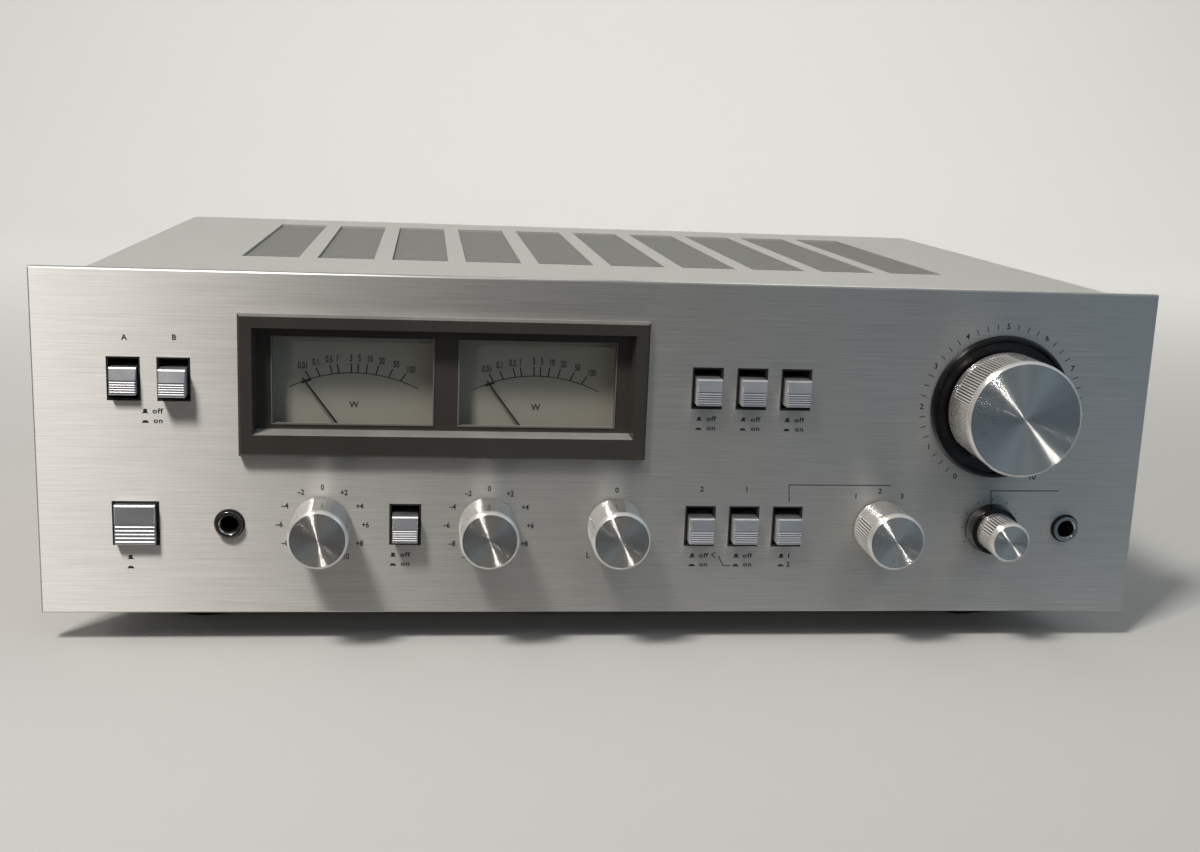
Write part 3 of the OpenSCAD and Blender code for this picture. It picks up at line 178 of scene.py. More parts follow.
class Finish(Sheet):
    # one material
    def __init__(self, name):
        self.material = bpy.data.materials.new(name)
        self.material.use_nodes = True
        super().__init__(self.material.node_tree)
        self.shader = self.tree.nodes.new("ShaderNodeBsdfPrincipled")
        out = self.tree.nodes.new("ShaderNodeOutputMaterial")
        self.surface = out.inputs["Surface"]
        self.tree.links.new(self.shader.outputs[0], self.surface)

    def place(self, scale=(1, 1, 1), move=(0, 0, 0)):
        # Object coordinates, moved and stretched
        spot = self.node("ShaderNodeTexCoord", out="Object")
        return self.node("ShaderNodeMapping", values={"Vector": spot, "Location": move, "Scale": scale})

    def noise(self, vector, detail=2.0, rough=0.5):
        # smooth random value of a place
        return self.node("ShaderNodeTexNoise",
                         values={"Vector": vector, "Scale": 1.0, "Detail": detail, "Roughness": rough})

    def evenNoise(self, scale, detail=2.0, rough=0.5):
        # noise that is equally fine in all directions
        return self.noise(self.place((scale,) * 3), detail, rough)

    def mixed(self, first, second, share=0.5):
        # a share of the first noise and the rest of the second
        return first * share + second * (1 - share)

    def spread(self, noise, first, last):
        # goes from first to last over a noise's usual values
        return self.span(noise, *usualNoise, first, last)

    def vary(self, noise, middle, share):
        # goes from a share below the middle to a share above it over a noise's usual values
        return self.spread(noise, middle * (1 - share), middle * (1 + share))

    def uneven(self, factor, colour, share):
        # colour from a share darker to a share lighter while factor goes from 0 to 1
        return self.blend(factor, shade(colour, 1 - share), shade(colour, 1 + share))

    def mark(self, name):
        # number that the mesh carries under this name
        return self.node("ShaderNodeAttribute", {"attribute_name": name}, out="Fac")

    def bump(self, height, strength, distance):
        # surface normal of a raised pattern
        return self.node("ShaderNodeBump", values={"Height": height, "Strength": strength, "Distance": distance})

    def normal(self):
        # surface normal without a pattern
        return self.node("ShaderNodeNewGeometry", out="Normal")

    def lean(self, *pairs):
        # surface normal leaned along each direction by its amount, as brushing and turning marks do
        total = self.normal()
        for direction, amount in pairs:
            total = self.vector("ADD", total, self.vector("SCALE", direction, scale=amount))
        return self.vector("NORMALIZE", total)

    def set(self, **values):
        # fills the shader's inputs by short names
        names = {"colour": "Base Color", "roughness": "Roughness", "metallic": "Metallic", "normal": "Normal",
                 "anisotropy": "Anisotropic", "anisotropyTurn": "Anisotropic Rotation"}
        for key, value in values.items():
            self.fill(self.shader.inputs[names[key]], value)
        return self.material


# Brushed sheet: a lobe drawn out across the brushing, with faint streaks along x in tone, gloss and lean
brushSet = {
    "streak": (24.0, 24.0, 1900.0), "fine": (60.0, 60.0, 9000.0), "cloud": 9.0, "marks": (0.35, 0.65),
    "lean": 0.05, "tone": 0.11, "roughness": (0.545, 0.585), "anisotropy": 0.88, "turn": 0.25,
}


def brushedAluminium(name, colour, s):
    # tone follows the mean of fine and broad streaks, gloss that of streaks and clouds, lean the fine ones
    f = Finish(name)
    fine = f.noise(f.place(s["fine"]), detail=1.0)
    streak = f.noise(f.place(s["streak"]), detail=3.0, rough=0.6)
    cloud = f.evenNoise(s["cloud"])
    marks = f.span(f.mixed(fine, streak), *s["marks"], 0, 1)
    return f.set(colour=f.uneven(marks, colour, s["tone"]), metallic=1.0,
                 roughness=f.spread(f.mixed(streak, cloud), *s["roughness"]),
                 anisotropy=s["anisotropy"], anisotropyTurn=s["turn"],
                 normal=f.lean(((0, 0, 1), (fine - 0.5) * s["lean"])))


# Turned metal: fine grooves lean the normal along the radius on faces and along the axis on sides
turnSet = {
    "groove": 0.000017, "faceTilt": (0.75, 0.9), "sideTilt": (0.1, 0.4), "faceLean": 1.2, "sideLean": 1.6,
    "roughness": (0.15, 0.20), "wear": 2500.0, "wornTone": 0.94, "faceShade": 0.68, "fluteShade": 0.10,
    "sideMatt": 0.2, "rimMatt": 0.55, "gripMatt": 0.4, "gripCalm": 1.35,
}


def turnedAluminium(name, centre, colour, s):
    # a face, a side and the rim between them are told apart by how far the normal tilts along the axis
    f = Finish(name)
    spot = f.place(move=tuple(-c for c in centre))
    flat = f.vector("MULTIPLY", spot, (1, 0, 1))
    radius = f.vector("LENGTH", flat, out="Value")
    along = f.split(spot, "Y")
    # the way outward turns with the knob, because the surface normal does
    outward = f.node("ShaderNodeVectorTransform",
                     {"vector_type": "VECTOR", "convert_from": "OBJECT", "convert_to": "WORLD"},
                     {0: f.vector("NORMALIZE", flat)})
    tilt = f.split(f.normal(), "Y")
    tilt = tilt.sums("ABSOLUTE", tilt)
    faceOn = f.span(tilt, *s["faceTilt"], 0, 1)
    sideOn = f.span(tilt, *s["sideTilt"], 1, 0)
    rimOn = 1 - faceOn - sideOn
    # the pointer's flat is milled, so it has no turned grooves
    grooved = sideOn * (1 - f.mark("flat"))
    # a groove's slope goes from -1 to 1 and back, and stays longest near 0
    steps = f.node("ShaderNodeMix", {"data_type": "FLOAT"}, {0: faceOn, 2: along, 3: radius}) / s["groove"]
    wave = (steps.sums("PINGPONG", steps, 0.5) * 4 - 1) ** 3
    rings = f.node("ShaderNodeCombineXYZ", values={"X": radius * s["wear"], "Y": along * s["wear"]})
    wear = f.noise(rings)
    metal = f.blend(f.spread(wear, 0, 1), shade(colour, s["wornTone"]), colour)
    # painted shade: the faces take a darker copy of the metal than the sides
    metal = f.blend(faceOn, metal, shade(colour, s["faceShade"]))
    # painted shade: the flutes take a darker copy of the metal, as shade in their grooves
    metal = f.blend(f.mark("flute"), metal, shade(colour, s["fluteShade"]))
    grip = f.mark("grip")
    matt = grooved * (grip * s["gripMatt"] + s["sideMatt"]) + rimOn * s["rimMatt"]
    sideLean = grooved * (s["sideLean"] - grip * s["gripCalm"])
    return f.set(colour=metal, metallic=1 - matt, roughness=f.spread(wear, *s["roughness"]),
                 normal=f.lean((outward, wave * (faceOn * s["faceLean"])), ((0, 1, 0), wave * sideLean)))


# Plain metal, moulded plastic, sprayed paint, clear sheet and printing ink
metalSet = {"fine": 1800.0, "broad": 60.0, "gloss": 0.15, "bump": 0.05, "depth": 0.0002}
plasticSet = {"grain": 2600.0, "cloud": 45.0, "grainShare": 0.4, "tone": 0.14, "gloss": 0.1, "depth": 0.00012,
              "upward": (0.5, 0.9), "leastDustAndSheen": 0.7}
paintSet = {"peel": 700.0, "speck": 2400.0, "cloud": 11.0, "tone": 0.04, "gloss": 0.1, "bump": 0.1, "depth": 0.0002}
windowSet = {"tint": (0.96, 0.97, 0.97), "roughness": 0.04, "refraction": 1.45}
inkSet = {"wear": 900.0, "worn": (0.45, 0.75), "fade": 0.03, "roughness": 0.5}


def satinMetal(name, colour, roughness, metallic=1.0, tone=0.06):
    # tone and gloss follow the mean of a fine and a broad noise
    f, s = Finish(name), metalSet
    fine = f.evenNoise(s["fine"])
    broad = f.evenNoise(s["broad"], detail=3.0)
    share = f.spread(f.mixed(fine, broad), 0, 1)
    gloss = f.span(share, 0, 1, roughness * (1 - s["gloss"]), roughness * (1 + s["gloss"]))
    return f.set(colour=f.uneven(share, colour, tone), metallic=metallic, roughness=gloss,
                 normal=f.bump(fine, s["bump"], s["depth"]))


def mouldedPlastic(name, colour, roughness, texture=0.15, dustAndSheen=None):
    # fine eroded texture and a slightly uneven tone, with dust and a painted sheen lightening what faces up
    f, s = Finish(name), plasticSet
    grain = f.evenNoise(s["grain"], rough=0.6)
    cloud = f.evenNoise(s["cloud"], detail=3.0)
    share = f.spread(f.mixed(grain, cloud, s["grainShare"]), 0, 1)
    body = f.uneven(share, colour, s["tone"])
    if dustAndSheen:
        # dust and painted sheen: surfaces that face up are blended towards a lighter colour
        upward = f.span(f.split(f.normal(), "Z"), *s["upward"], 0, 1)
        body = f.blend(upward * f.spread(cloud, s["leastDustAndSheen"], 1), body, dustAndSheen)
    return f.set(colour=body, roughness=f.vary(cloud, roughness, s["gloss"]),
                 normal=f.bump(grain, texture, s["depth"]))


def satinPaint(name, colour, roughness, metallic=0.0):
    # orange-peel bump, and a tone that follows the mean of specks and clouds
    f, s = Finish(name), paintSet
    peel = f.evenNoise(s["peel"])
    speck = f.evenNoise(s["speck"], detail=1.0)
    cloud = f.evenNoise(s["cloud"], detail=3.0)
    share = f.spread(f.mixed(speck, cloud), 0, 1)
    return f.set(colour=f.uneven(share, colour, s["tone"]), metallic=metallic,
                 roughness=f.vary(cloud, roughness, s["gloss"]), normal=f.bump(peel, s["bump"], s["depth"]))


def clearWindow(name, s):
    # see-through sheet: a Fresnel share of gloss on its outer sides over a clear shader
    f = Finish(name)
    clear = f.node("ShaderNodeBsdfTransparent", values={"Color": s["tint"]})
    shine = f.node("ShaderNodeBsdfGlossy", values={"Roughness": s["roughness"]})
    outside = 1 - f.node("ShaderNodeNewGeometry", out="Backfacing")
    edge = f.node("ShaderNodeFresnel", values={"IOR": s["refraction"]}) * outside
    f.fill(f.surface, f.node("ShaderNodeMixShader", values={0: edge, 1: clear, 2: shine}))
    f.tree.nodes.remove(f.shader)
    return f.material


def printingInk(name, colour):
    # screen-printed ink, a little faded where it is worn
    f, s = Finish(name), inkSet
    worn = f.span(f.evenNoise(s["wear"]), *s["worn"], 0, 1)
    return f.set(colour=f.blend(worn, colour, tuple(c + s["fade"] for c in colour)), roughness=s["roughness"])


# Points that are closer than this, in metres, are one point
samePlace = 1e-7


def addPiece(name, points, faces, material, smooth=None, merge=False):
    # points in metres; faces as rows of indices; merge joins points that share a place
    mesh = bpy.data.meshes.new(name)
    mesh.from_pydata(np.asarray(points).tolist(), [], [tuple(int(i) for i in face) for face in faces])
    if merge:
        shell = bmesh.new()
        shell.from_mesh(mesh)
        bmesh.ops.remove_doubles(shell, verts=shell.verts, dist=samePlace)
        shell.to_mesh(mesh)
        shell.free()
    mesh.update()
    piece = bpy.data.objects.new(name, mesh)
    bpy.context.scene.collection.objects.link(piece)
    mesh.materials.append(material)
    if smooth is not None:
        mesh.shade_smooth()
        mesh.set_sharp_from_angle(angle=math.radians(smooth))
    return piece


def gridFaces(rows, columns, loopColumns=True):
    # quads of a rows x columns grid; loopColumns joins the last column to the first
    r, c = np.meshgrid(np.arange(rows - 1), np.arange(columns if loopColumns else columns - 1), indexing="ij")
    here, after = r * columns + c, r * columns + (c + 1) % columns
    return np.stack([here, after, after + columns, here + columns], -1).reshape(-1, 4)


def standsFor(piece, body, node):
    # the piece rides on a body and shows instead of a CAD node
    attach(piece, body)
    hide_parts(node)


def paint(names, material):
    # one finish on all faces of these CAD nodes
    for name in names:
        slots = nodes[name].data.materials
        if len(slots) == 0:
            slots.append(material)
        for i in range(len(slots)):
            slots[i] = material


# Knobs: r(turn, height) = blank radius - V flutes in two sectors, cut down to the pointer flat's plane
knobSet = {
    "edge": 0.9, "edgeBelly": 0.55, "faceLip": 0.25, "faceDish": 0.12, "footEdge": 0.4,
    "flatFoot": 28.0, "flatFace": 15.0, "flatReach": 60.0,
    "gripFrom": 65.0, "gripTo": 135.0, "gripFoot": 4.0, "gripHead": 3.0, "gripRamp": 0.25,
    "flutePitch": 1.15, "fluteDepth": 0.45, "fluteShare": 0.62, "fluteSteep": 1.8,
    "lineHead": 1.9, "lineWide": 0.7, "lineDeep": 0.3, "bore": 3.05, "boreRoom": 0.1,
    "colour": (0.80, 0.79, 0.77), "turns": 960, "smooth": 24,
}
# where each pointer stands, in degrees clockwise from up, and the knob with flutes of its own
knobPointers = {"volume": -142.0, "bass": 0.0, "treble": 0.0, "balance": 0.0, "mic": -142.0, "selector": 40.0}
knobGrips = {"selector": {"gripFrom": 100.0, "gripTo": 170.0}}


def spunKnob(name, pointer, s):
    # rows of rings from the floor of the shaft's bore, round the outside, to the middle of the face
    low, high = nodeEdges(name + "_knob")
    x, z = (low[0] + high[0]) / 2, (low[2] + high[2]) / 2
    radius = (high[0] - low[0]) / 2
    foot, face = -high[1], -low[1]
    length = face - foot
    bore = s["boreRoom"] - nodeEdges(name + "_shaft")[0][1] - foot
    rim, head, line = radius - s["edge"], length - s["gripHead"], length - s["lineHead"]
    # each row: height above the foot, radius and share of the flutes' depth
    rows = np.array([
        (bore, s["bore"] / 2, 0), (bore, s["bore"], 0), (0, s["bore"], 0),
        (0, radius - s["footEdge"], 0), (s["footEdge"], radius, 0),
        (s["gripFoot"] - s["gripRamp"], radius, 0), (s["gripFoot"], radius, 1),
        (head, radius, 1), (head + s["gripRamp"], radius, 0),
        (line - s["lineWide"] / 2, radius, 0), (line, radius - s["lineDeep"], 0),
        (line + s["lineWide"] / 2, radius, 0), (length - s["edge"], radius, 0),
        (length - s["edge"] / 2, rim + s["edge"] * s["edgeBelly"], 0), (length, rim, 0),
        (length, rim - s["faceLip"], 0), (length - s["faceDish"] / 2, radius / 2, 0),
        (length - s["faceDish"], radius / 8, 0)])
    up, blank, cut = rows[:, 0], rows[:, 1], rows[:, 2:]
    turn = np.linspace(0, 2 * np.pi, s["turns"], endpoint=False)
    off = np.degrees(np.abs((turn - math.radians(pointer) + np.pi) % (2 * np.pi) - np.pi))
    # aside: how far a turn is from the middle of its flute, in flutes
    inSector = (off > s["gripFrom"]) & (off < s["gripTo"])
    sector = s["gripTo"] - s["gripFrom"]
    count = round(math.radians(sector) * radius / s["flutePitch"])
    aside = np.abs(((off - s["gripFrom"]) / sector * count) % 1 - 0.5)
    flute = np.where(inSector, np.clip(s["fluteSteep"] * (1 - aside * 2 / s["fluteShare"]), 0, 1), 0)
    r = blank[:, None] - cut * flute * s["fluteDepth"]
    nearFlat = off < s["flatReach"]
    half = np.radians(np.interp(up, [0, length], [s["flatFoot"] / 2, s["flatFace"] / 2]))
    plane = radius * np.cos(half)[:, None] / np.where(nearFlat, np.cos(np.radians(off)), 1)
    plane = np.where(nearFlat, plane, np.inf)
    onFlat = plane < r
    r = np.minimum(r, plane)
    grid = np.stack([x + r * np.sin(turn), -(foot + up)[:, None] + 0 * r, z + r * np.cos(turn)], -1).reshape(-1, 3)
    poles = [(x, -(foot + bore), z), (x, -(face - s["faceDish"]), z)]
    around, last, n = np.arange(s["turns"]), (len(up) - 1) * s["turns"], len(grid)
    after = (around + 1) % s["turns"]
    boreFan = np.stack([around, after, 0 * around + n], -1)
    faceFan = np.stack([last + after, last + around, 0 * around + n + 1], -1)
    faces = [*gridFaces(len(up), s["turns"])[:, ::-1], *boreFan, *faceFan]
    finish = turnedAluminium(name + "KnobFinish", tuple(onPanel((x, 0, z))), s["colour"], turnSet)
    piece = addPiece(name + "Knob", onPanel(np.vstack([grid, poles])), faces, finish, s["smooth"])
    for label, share in (("flute", cut * flute), ("grip", cut * inSector), ("flat", 1.0 * onFlat)):
        mark = piece.data.attributes.new(label, "FLOAT", "POINT")
        mark.data.foreach_set("value", np.append(share.ravel(), (0, 0)))
    standsFor(piece, name + "_control", name + "_knob")


for name, pointer in knobPointers.items():
    spunKnob(name, pointer, {**knobSet, **knobGrips.get(name, {})})
print("knobs turned")


def spunRings(places, profile, turns, upright=False):
    # closed surfaces of revolution from (radius, along) points, about y through (x, z) or about z through (x, y)
    turn = np.linspace(0, 2 * np.pi, turns, endpoint=False)
    closed = np.vstack([profile, profile[:1]])
    r, along = closed[:, :1], closed[:, 1:]
    points, faces = [], []
    for a, b in places:
        first, second, flat = a + r * np.sin(turn), b + r * np.cos(turn), along + 0 * r * turn
        faces.append(gridFaces(len(closed), turns)[:, ::-1] + sum(len(p) for p in points))
        points.append(np.stack([first, second, flat] if upright else [first, flat, second], -1).reshape(-1, 3))
    return np.vstack(points), np.vstack(faces)


def rounded(corners, radii, steps=5):
    # profile with each corner of a closed outline rounded by its radius
    corners = np.asarray(corners, float)
    line = []
    for i, (point, radius) in enumerate(zip(corners, radii)):
        if radius == 0:
            line.append(point)
            continue
        back, ahead = corners[i - 1] - point, corners[(i + 1) % len(corners)] - point
        back, ahead = back / np.linalg.norm(back), ahead / np.linalg.norm(ahead)
        half = math.acos(np.clip(back @ ahead, -1, 1)) / 2
        middle = point + (back + ahead) / np.linalg.norm(back + ahead) * radius / math.sin(half)
        first, last = point + back * radius / math.tan(half), point + ahead * radius / math.tan(half)
        for t in np.linspace(0, 1, steps):
            arm = (first - middle) * (1 - t) + (last - middle) * t
            line.append(middle + arm / np.linalg.norm(arm) * radius)
    return np.array(line)


# Small turned pieces with softened edges, on the outlines of their CAD nodes
ringSet = {"rim": 1.0, "slope": 0.8, "floor": 1.0, "hole": 6.0,
           "edges": (0, 0.1, 0.3, 0.3, 0.2, 0.2), "turns": 288, "smooth": 40}
skirtSet = {"taper": 0.8, "bore": 3.05, "edges": (0, 0.3, 0.4, 0), "turns": 192, "smooth": 40}
nutSet = {"rim": 1.2, "mouth": 0.5, "edges": (0, 0.1, 0.12, 0.06, 0.06), "turns": 128, "smooth": 35,
          "colour": (0.45, 0.45, 0.44), "roughness": 0.12}
footSet = {"radius": 18.0, "taper": 2.0, "recess": 7.0, "web": 6.0, "bore": 2.2,
           "edges": (0, 0.6, 0.6, 1.6, 0.4, 0), "turns": 96, "smooth": 40}

glossBlack = mouldedPlastic("glossBlack", (0.005, 0.005, 0.006), roughness=0.14, texture=0.02)
nutPlate = satinMetal("nutPlate", nutSet["colour"], nutSet["roughness"])
footRubber = mouldedPlastic("footRubber", (0.03, 0.03, 0.03), roughness=0.75, texture=0.3)


def ringPiece(name, places, corners, material, s, upright=False):
    # one piece of rings whose outline has its corners rounded
    points, faces = spunRings(places, rounded(corners, s["edges"]), s["turns"], upright)
    return addPiece(name, onPanel(points), faces, material, s["smooth"])


def volumeRing(s):
    # raised rim with sloping sides round a sunk floor
    low, high = nodeEdges("volume_ring")
    x, _, z = nodeCentre("volume_ring")
    r, top = (high[0] - low[0]) / 2, low[1]
    inner = r - s["rim"] - 2 * s["slope"]
    corners = [(s["hole"], 0), (r, 0), (r - s["slope"], top), (inner + s["slope"], top),
               (inner, -s["floor"]), (s["hole"], -s["floor"])]
    standsFor(ringPiece("volumeRing", [(x, z)], corners, glossBlack, s), "chassis", "volume_ring")


def micSkirt(s):
    # short cone round the foot of the microphone knob
    low, high = nodeEdges("mic_skirt")
    x, _, z = nodeCentre("mic_skirt")
    r = (high[0] - low[0]) / 2
    corners = [(s["bore"], high[1]), (r, high[1]), (r - s["taper"], low[1]), (s["bore"], low[1])]
    standsFor(ringPiece("micSkirt", [(x, z)], corners, glossBlack, s), "mic_control", "mic_skirt")


def jackNuts(s):
    # polished flat rim, then a short cone into the socket's bore
    low, high = nodeEdges("jack_nuts")
    r, z = (high[2] - low[2]) / 2, (high[2] + low[2]) / 2
    inner = r - s["rim"] - s["mouth"]
    corners = [(inner, high[1]), (r, high[1]), (r, low[1]), (r - s["rim"], low[1]), (inner, low[1] + s["mouth"])]
    places = [(low[0] + r, z), (high[0] - r, z)]
    standsFor(ringPiece("jackNuts", places, corners, nutPlate, s), "chassis", "jack_nuts")


def rubberFeet(s):
    # cones that widen upwards, with a recess for a screw's head under a web
    low, high = nodeEdges("feet")
    r, web = s["radius"], high[2] - s["web"]
    corners = [(s["bore"], web), (s["recess"], web), (s["recess"], low[2]),
               (r - s["taper"], low[2]), (r, high[2]), (s["bore"], high[2])]
    places = [(x, y) for x in (low[0] + r, high[0] - r) for y in (low[1] + r, high[1] - r)]
    feet = ringPiece("rubberFeet", places, corners, footRubber, s, upright=True)
    standsFor(feet, "chassis", "feet")


volumeRing(ringSet)
micSkirt(skirtSet)
jackNuts(nutSet)
rubberFeet(footSet)
print("rings and feet turned")


# Button caps: y(x, z) = the deeper of a profile down the face and one across it, with a square stem behind
buttonSet = {
    "cap": 14.0, "topEdge": 0.5, "sideEdge": 0.4, "footEdge": 0.3, "plainShare": 0.46, "plainSet": 0.12,
    "ridges": 5, "ridgeDepth": 0.45, "ridgeLip": 0.25, "ridgeFlat": 0.15, "band": 1.0,
    "stem": 2.5, "sag": 0.6, "lean": 0.25, "colour": (0.66, 0.66, 0.69), "roughness": 0.46, "tone": 0.03,
}
buttonFinish = satinMetal("buttonFinish", buttonSet["colour"], buttonSet["roughness"], tone=buttonSet["tone"])
squareCorners = ((-1, -1), (1, -1), (1, 1), (-1, 1))


def boxFaces(start):
    # six quads of a box whose corners run round its near end and then round its far end
    ring = [(i, (i + 1) % 4, 4 + (i + 1) % 4, 4 + i) for i in range(4)]
    return [tuple(start + i for i in face) for face in ((3, 2, 1, 0), (4, 5, 6, 7), *ring)]


def buttonCap(node, sag, lean, s):
    # down the face: an upper edge, a plain facet that slopes back by lean, ridges, and a lower edge
    low, high = nodeEdges(node)
    top, foot, half = high[2], low[2], (high[0] - low[0]) / 2
    x = (low[0] + high[0]) / 2
    edge = top - s["plainShare"] * (top - foot)
    pitch = (edge - foot - s["band"]) / s["ridges"]
    back, inset = s["cap"], s["plainSet"]
    shy = inset + lean * (top - s["topEdge"] - edge)
    down = [(top, back), (top, shy + s["topEdge"]), (top - s["topEdge"], shy), (edge, inset)]
    start = edge
    for i in range(s["ridges"]):
        lip = edge - (i + 1) * pitch
        step = lip + s["ridgeLip"]
        down += [(start, s["ridgeDepth"]), (step, s["ridgeDepth"]), (step, s["ridgeLip"]), (lip, 0)]
        start = lip - s["ridgeFlat"]
        if i < s["ridges"] - 1:
            down.append((start, 0))
    down = np.array(down + [(foot + s["footEdge"], 0), (foot, s["footEdge"]), (foot, back)])
    inner = half - s["sideEdge"]
    across = np.array([(-half, back), (-half, s["sideEdge"]), (-inner, 0),
                       (inner, 0), (half, s["sideEdge"]), (half, back)])
    depth = np.maximum(down[:, 1:], across[None, :, 1])
    cap = np.stack([x + across[None, :, 0] + 0 * depth, low[1] + depth, down[:, :1] + 0 * depth], -1).reshape(-1, 3)
    rows, columns = len(down), len(across)
    grid = np.arange(rows * columns).reshape(rows, columns)
    behind = np.concatenate([grid[0, :-1], grid[:-1, -1], grid[-1, :0:-1], grid[:0:-1, 0]])
    stem = [(x + a * s["stem"], y, (top + foot) / 2 + sag + b * s["stem"])
            for y in (low[1] + back, high[1]) for a, b in squareCorners]
    faces = [*gridFaces(rows, columns, False)[:, ::-1], behind, *boxFaces(rows * columns)]
    piece = addPiece(node + "Cap", onPanel(np.vstack([cap, stem])), faces, buttonFinish, merge=True)
    standsFor(piece, node, node)


for name in [n for n in nodes if n.endswith("_button")]:
    plain = name == "power_button"
    buttonCap(name, 0.0 if plain else buttonSet["sag"], 0.0 if plain else buttonSet["lean"], buttonSet)
print("buttons shaped")


# Thin raised ridge round each meter window, in a lighter grey than the bezel: a painted highlight along the window
# edges
ridgeSet = {"width": 59.0, "height": 32.3, "z": 89.2, "pitch": 68.9, "face": 3.5, "wide": 0.55, "out": 0.35,
            "sunk": 0.5, "edges": (0, 0.15, 0.15, 0), "edgeSteps": 4, "smooth": 50}
# the bezel's lighter colour on what faces up is dust and painted sheen
bezelPlastic = mouldedPlastic("bezelPlastic", (0.055, 0.048, 0.043), roughness=0.26, texture=0.06,
                              dustAndSheen=(0.36, 0.35, 0.33))
ridgeHighlightPlastic = mouldedPlastic("ridgeHighlightPlastic", (0.17, 0.165, 0.155), roughness=0.15, texture=0.02)


def meterPlaces():
    # x of the middle of each meter
    middle = nodeCentre("meter_bezel")[0]
    return middle - ridgeSet["pitch"] / 2, middle + ridgeSet["pitch"] / 2


def windowRidges(s):
    # one rounded profile carried round the four corners of each window
    back, front = s["face"] + s["sunk"], s["face"] - s["out"]
    profile = rounded([(0, back), (0, front), (s["wide"], front), (s["wide"], back)], s["edges"], s["edgeSteps"])
    profile = np.vstack([profile, profile[:1]])
    points, faces = [], []
    for i, x in enumerate(meterPlaces()):
        for out, y in profile:
            w, h = s["width"] / 2 + out, s["height"] / 2 + out
            points += [(x + a * w, y, s["z"] + b * h) for a, b in squareCorners]
        faces.append(gridFaces(len(profile), 4)[:, ::-1] + i * 4 * len(profile))
    piece = addPiece("windowRidges", onPanel(points), np.vstack(faces), ridgeHighlightPlastic, s["smooth"], merge=True)
    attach(piece, "chassis")


windowRidges(ridgeSet)
print("window ridges made")


# Print on the panel and on the dials: flat shapes a little in front of what carries them
wordSet = {"capital": 0.73, "spacing": 1.15, "weight": 0.07, "curveSteps": 3}


def flatWords(label, x, z, height, narrow=1.0):
    # outline of a label as flat faces, capitals of this height, its middle at x and its capitals' middle at z
    curve = bpy.data.curves.new("label", "FONT")
    curve.body, curve.size = label, height / wordSet["capital"]
    curve.offset, curve.resolution_u = wordSet["weight"], wordSet["curveSteps"]
    curve.space_character = wordSet["spacing"] if label.isalpha() else 1.0
    holder = bpy.data.objects.new("label", curve)
    bpy.context.scene.collection.objects.link(holder)
    mesh = bpy.data.meshes.new_from_object(holder.evaluated_get(bpy.context.evaluated_depsgraph_get()))
    spots = np.array([v.co[:2] for v in mesh.vertices])
    faces = [list(p.vertices) for p in mesh.polygons]
    bpy.data.objects.remove(holder)
    bpy.data.curves.remove(curve)
    bpy.data.meshes.remove(mesh)
    spots[:, 0] = (spots[:, 0] - (spots[:, 0].min() + spots[:, 0].max()) / 2) * narrow + x
    spots[:, 1] += z - height / 2
    return spots, faces


def flatBars(centres, lengths, widths, turns):
    # rectangles: length along the turn (clockwise from up), width across it
    centres = np.asarray(centres, float).reshape(-1, 2)
    n = len(centres)
    lengths, widths, turns = (np.broadcast_to(np.asarray(v, float), n) for v in (lengths, widths, turns))
    along = np.stack([np.sin(np.radians(turns)), np.cos(np.radians(turns))], -1)
    across = np.stack([along[:, 1], -along[:, 0]], -1)
    corner = np.array([(-1, -1), (-1, 1), (1, 1), (1, -1)]) / 2
    lengthwise = corner[None, :, :1] * (lengths[:, None] * along)[:, None]
    sidewise = corner[None, :, 1:] * (widths[:, None] * across)[:, None]
    return (centres[:, None] + lengthwise + sidewise).reshape(-1, 2), np.arange(n * 4).reshape(n, 4).tolist()


def flatStrip(line, width):
    # ribbon of even width along an open line of (x, z) points
    line = np.asarray(line, float)
    step = np.gradient(line, axis=0)
    side = np.stack([step[:, 1], -step[:, 0]], -1) / np.linalg.norm(step, axis=1)[:, None] * width / 2
    n = len(line)
    i = np.arange(n - 1)
    return np.vstack([line - side, line + side]), np.stack([i, i + n, i + n + 1, i + 1], -1).tolist()


def flatRoute(corners, width):
    # straight bars from corner to corner
    corners = np.asarray(corners, float)
    step = np.diff(corners, axis=0)
    turns = np.degrees(np.arctan2(step[:, 0], step[:, 1]))
    return flatBars((corners[1:] + corners[:-1]) / 2, np.linalg.norm(step, axis=1) + width, width, turns)


def printPiece(name, parts, depth, sunk, material):
    # gives each flat part the thickness of its ink, with its back sunk a little in what carries it
    points, faces, start = [], [], 0
    for spots, rows in parts:
        spots, n = np.asarray(spots, float), len(spots)
        for y in (depth, sunk):
            points.append(np.stack([spots[:, 0], np.full(n, y), spots[:, 1]], -1))
        edges = {(a, b) for row in rows for a, b in zip(row, row[1:] + row[:1])}
        walls = [[b, a, a + n, b + n] for a, b in sorted(edges) if (b, a) not in edges]
        backs = [[i + n for i in row[::-1]] for row in rows]
        faces += [[i + start for i in row] for row in rows + backs + walls]
        start += 2 * n
    piece = addPiece(name, onPanel(np.vstack(points)), faces, material)
    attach(piece, "chassis")


def ringSpots(x, z, radius, turns):
    # points on a circle at turns clockwise from up
    turns = np.radians(np.asarray(turns, float))
    return np.stack([x + radius * np.sin(turns), z + radius * np.cos(turns)], -1)


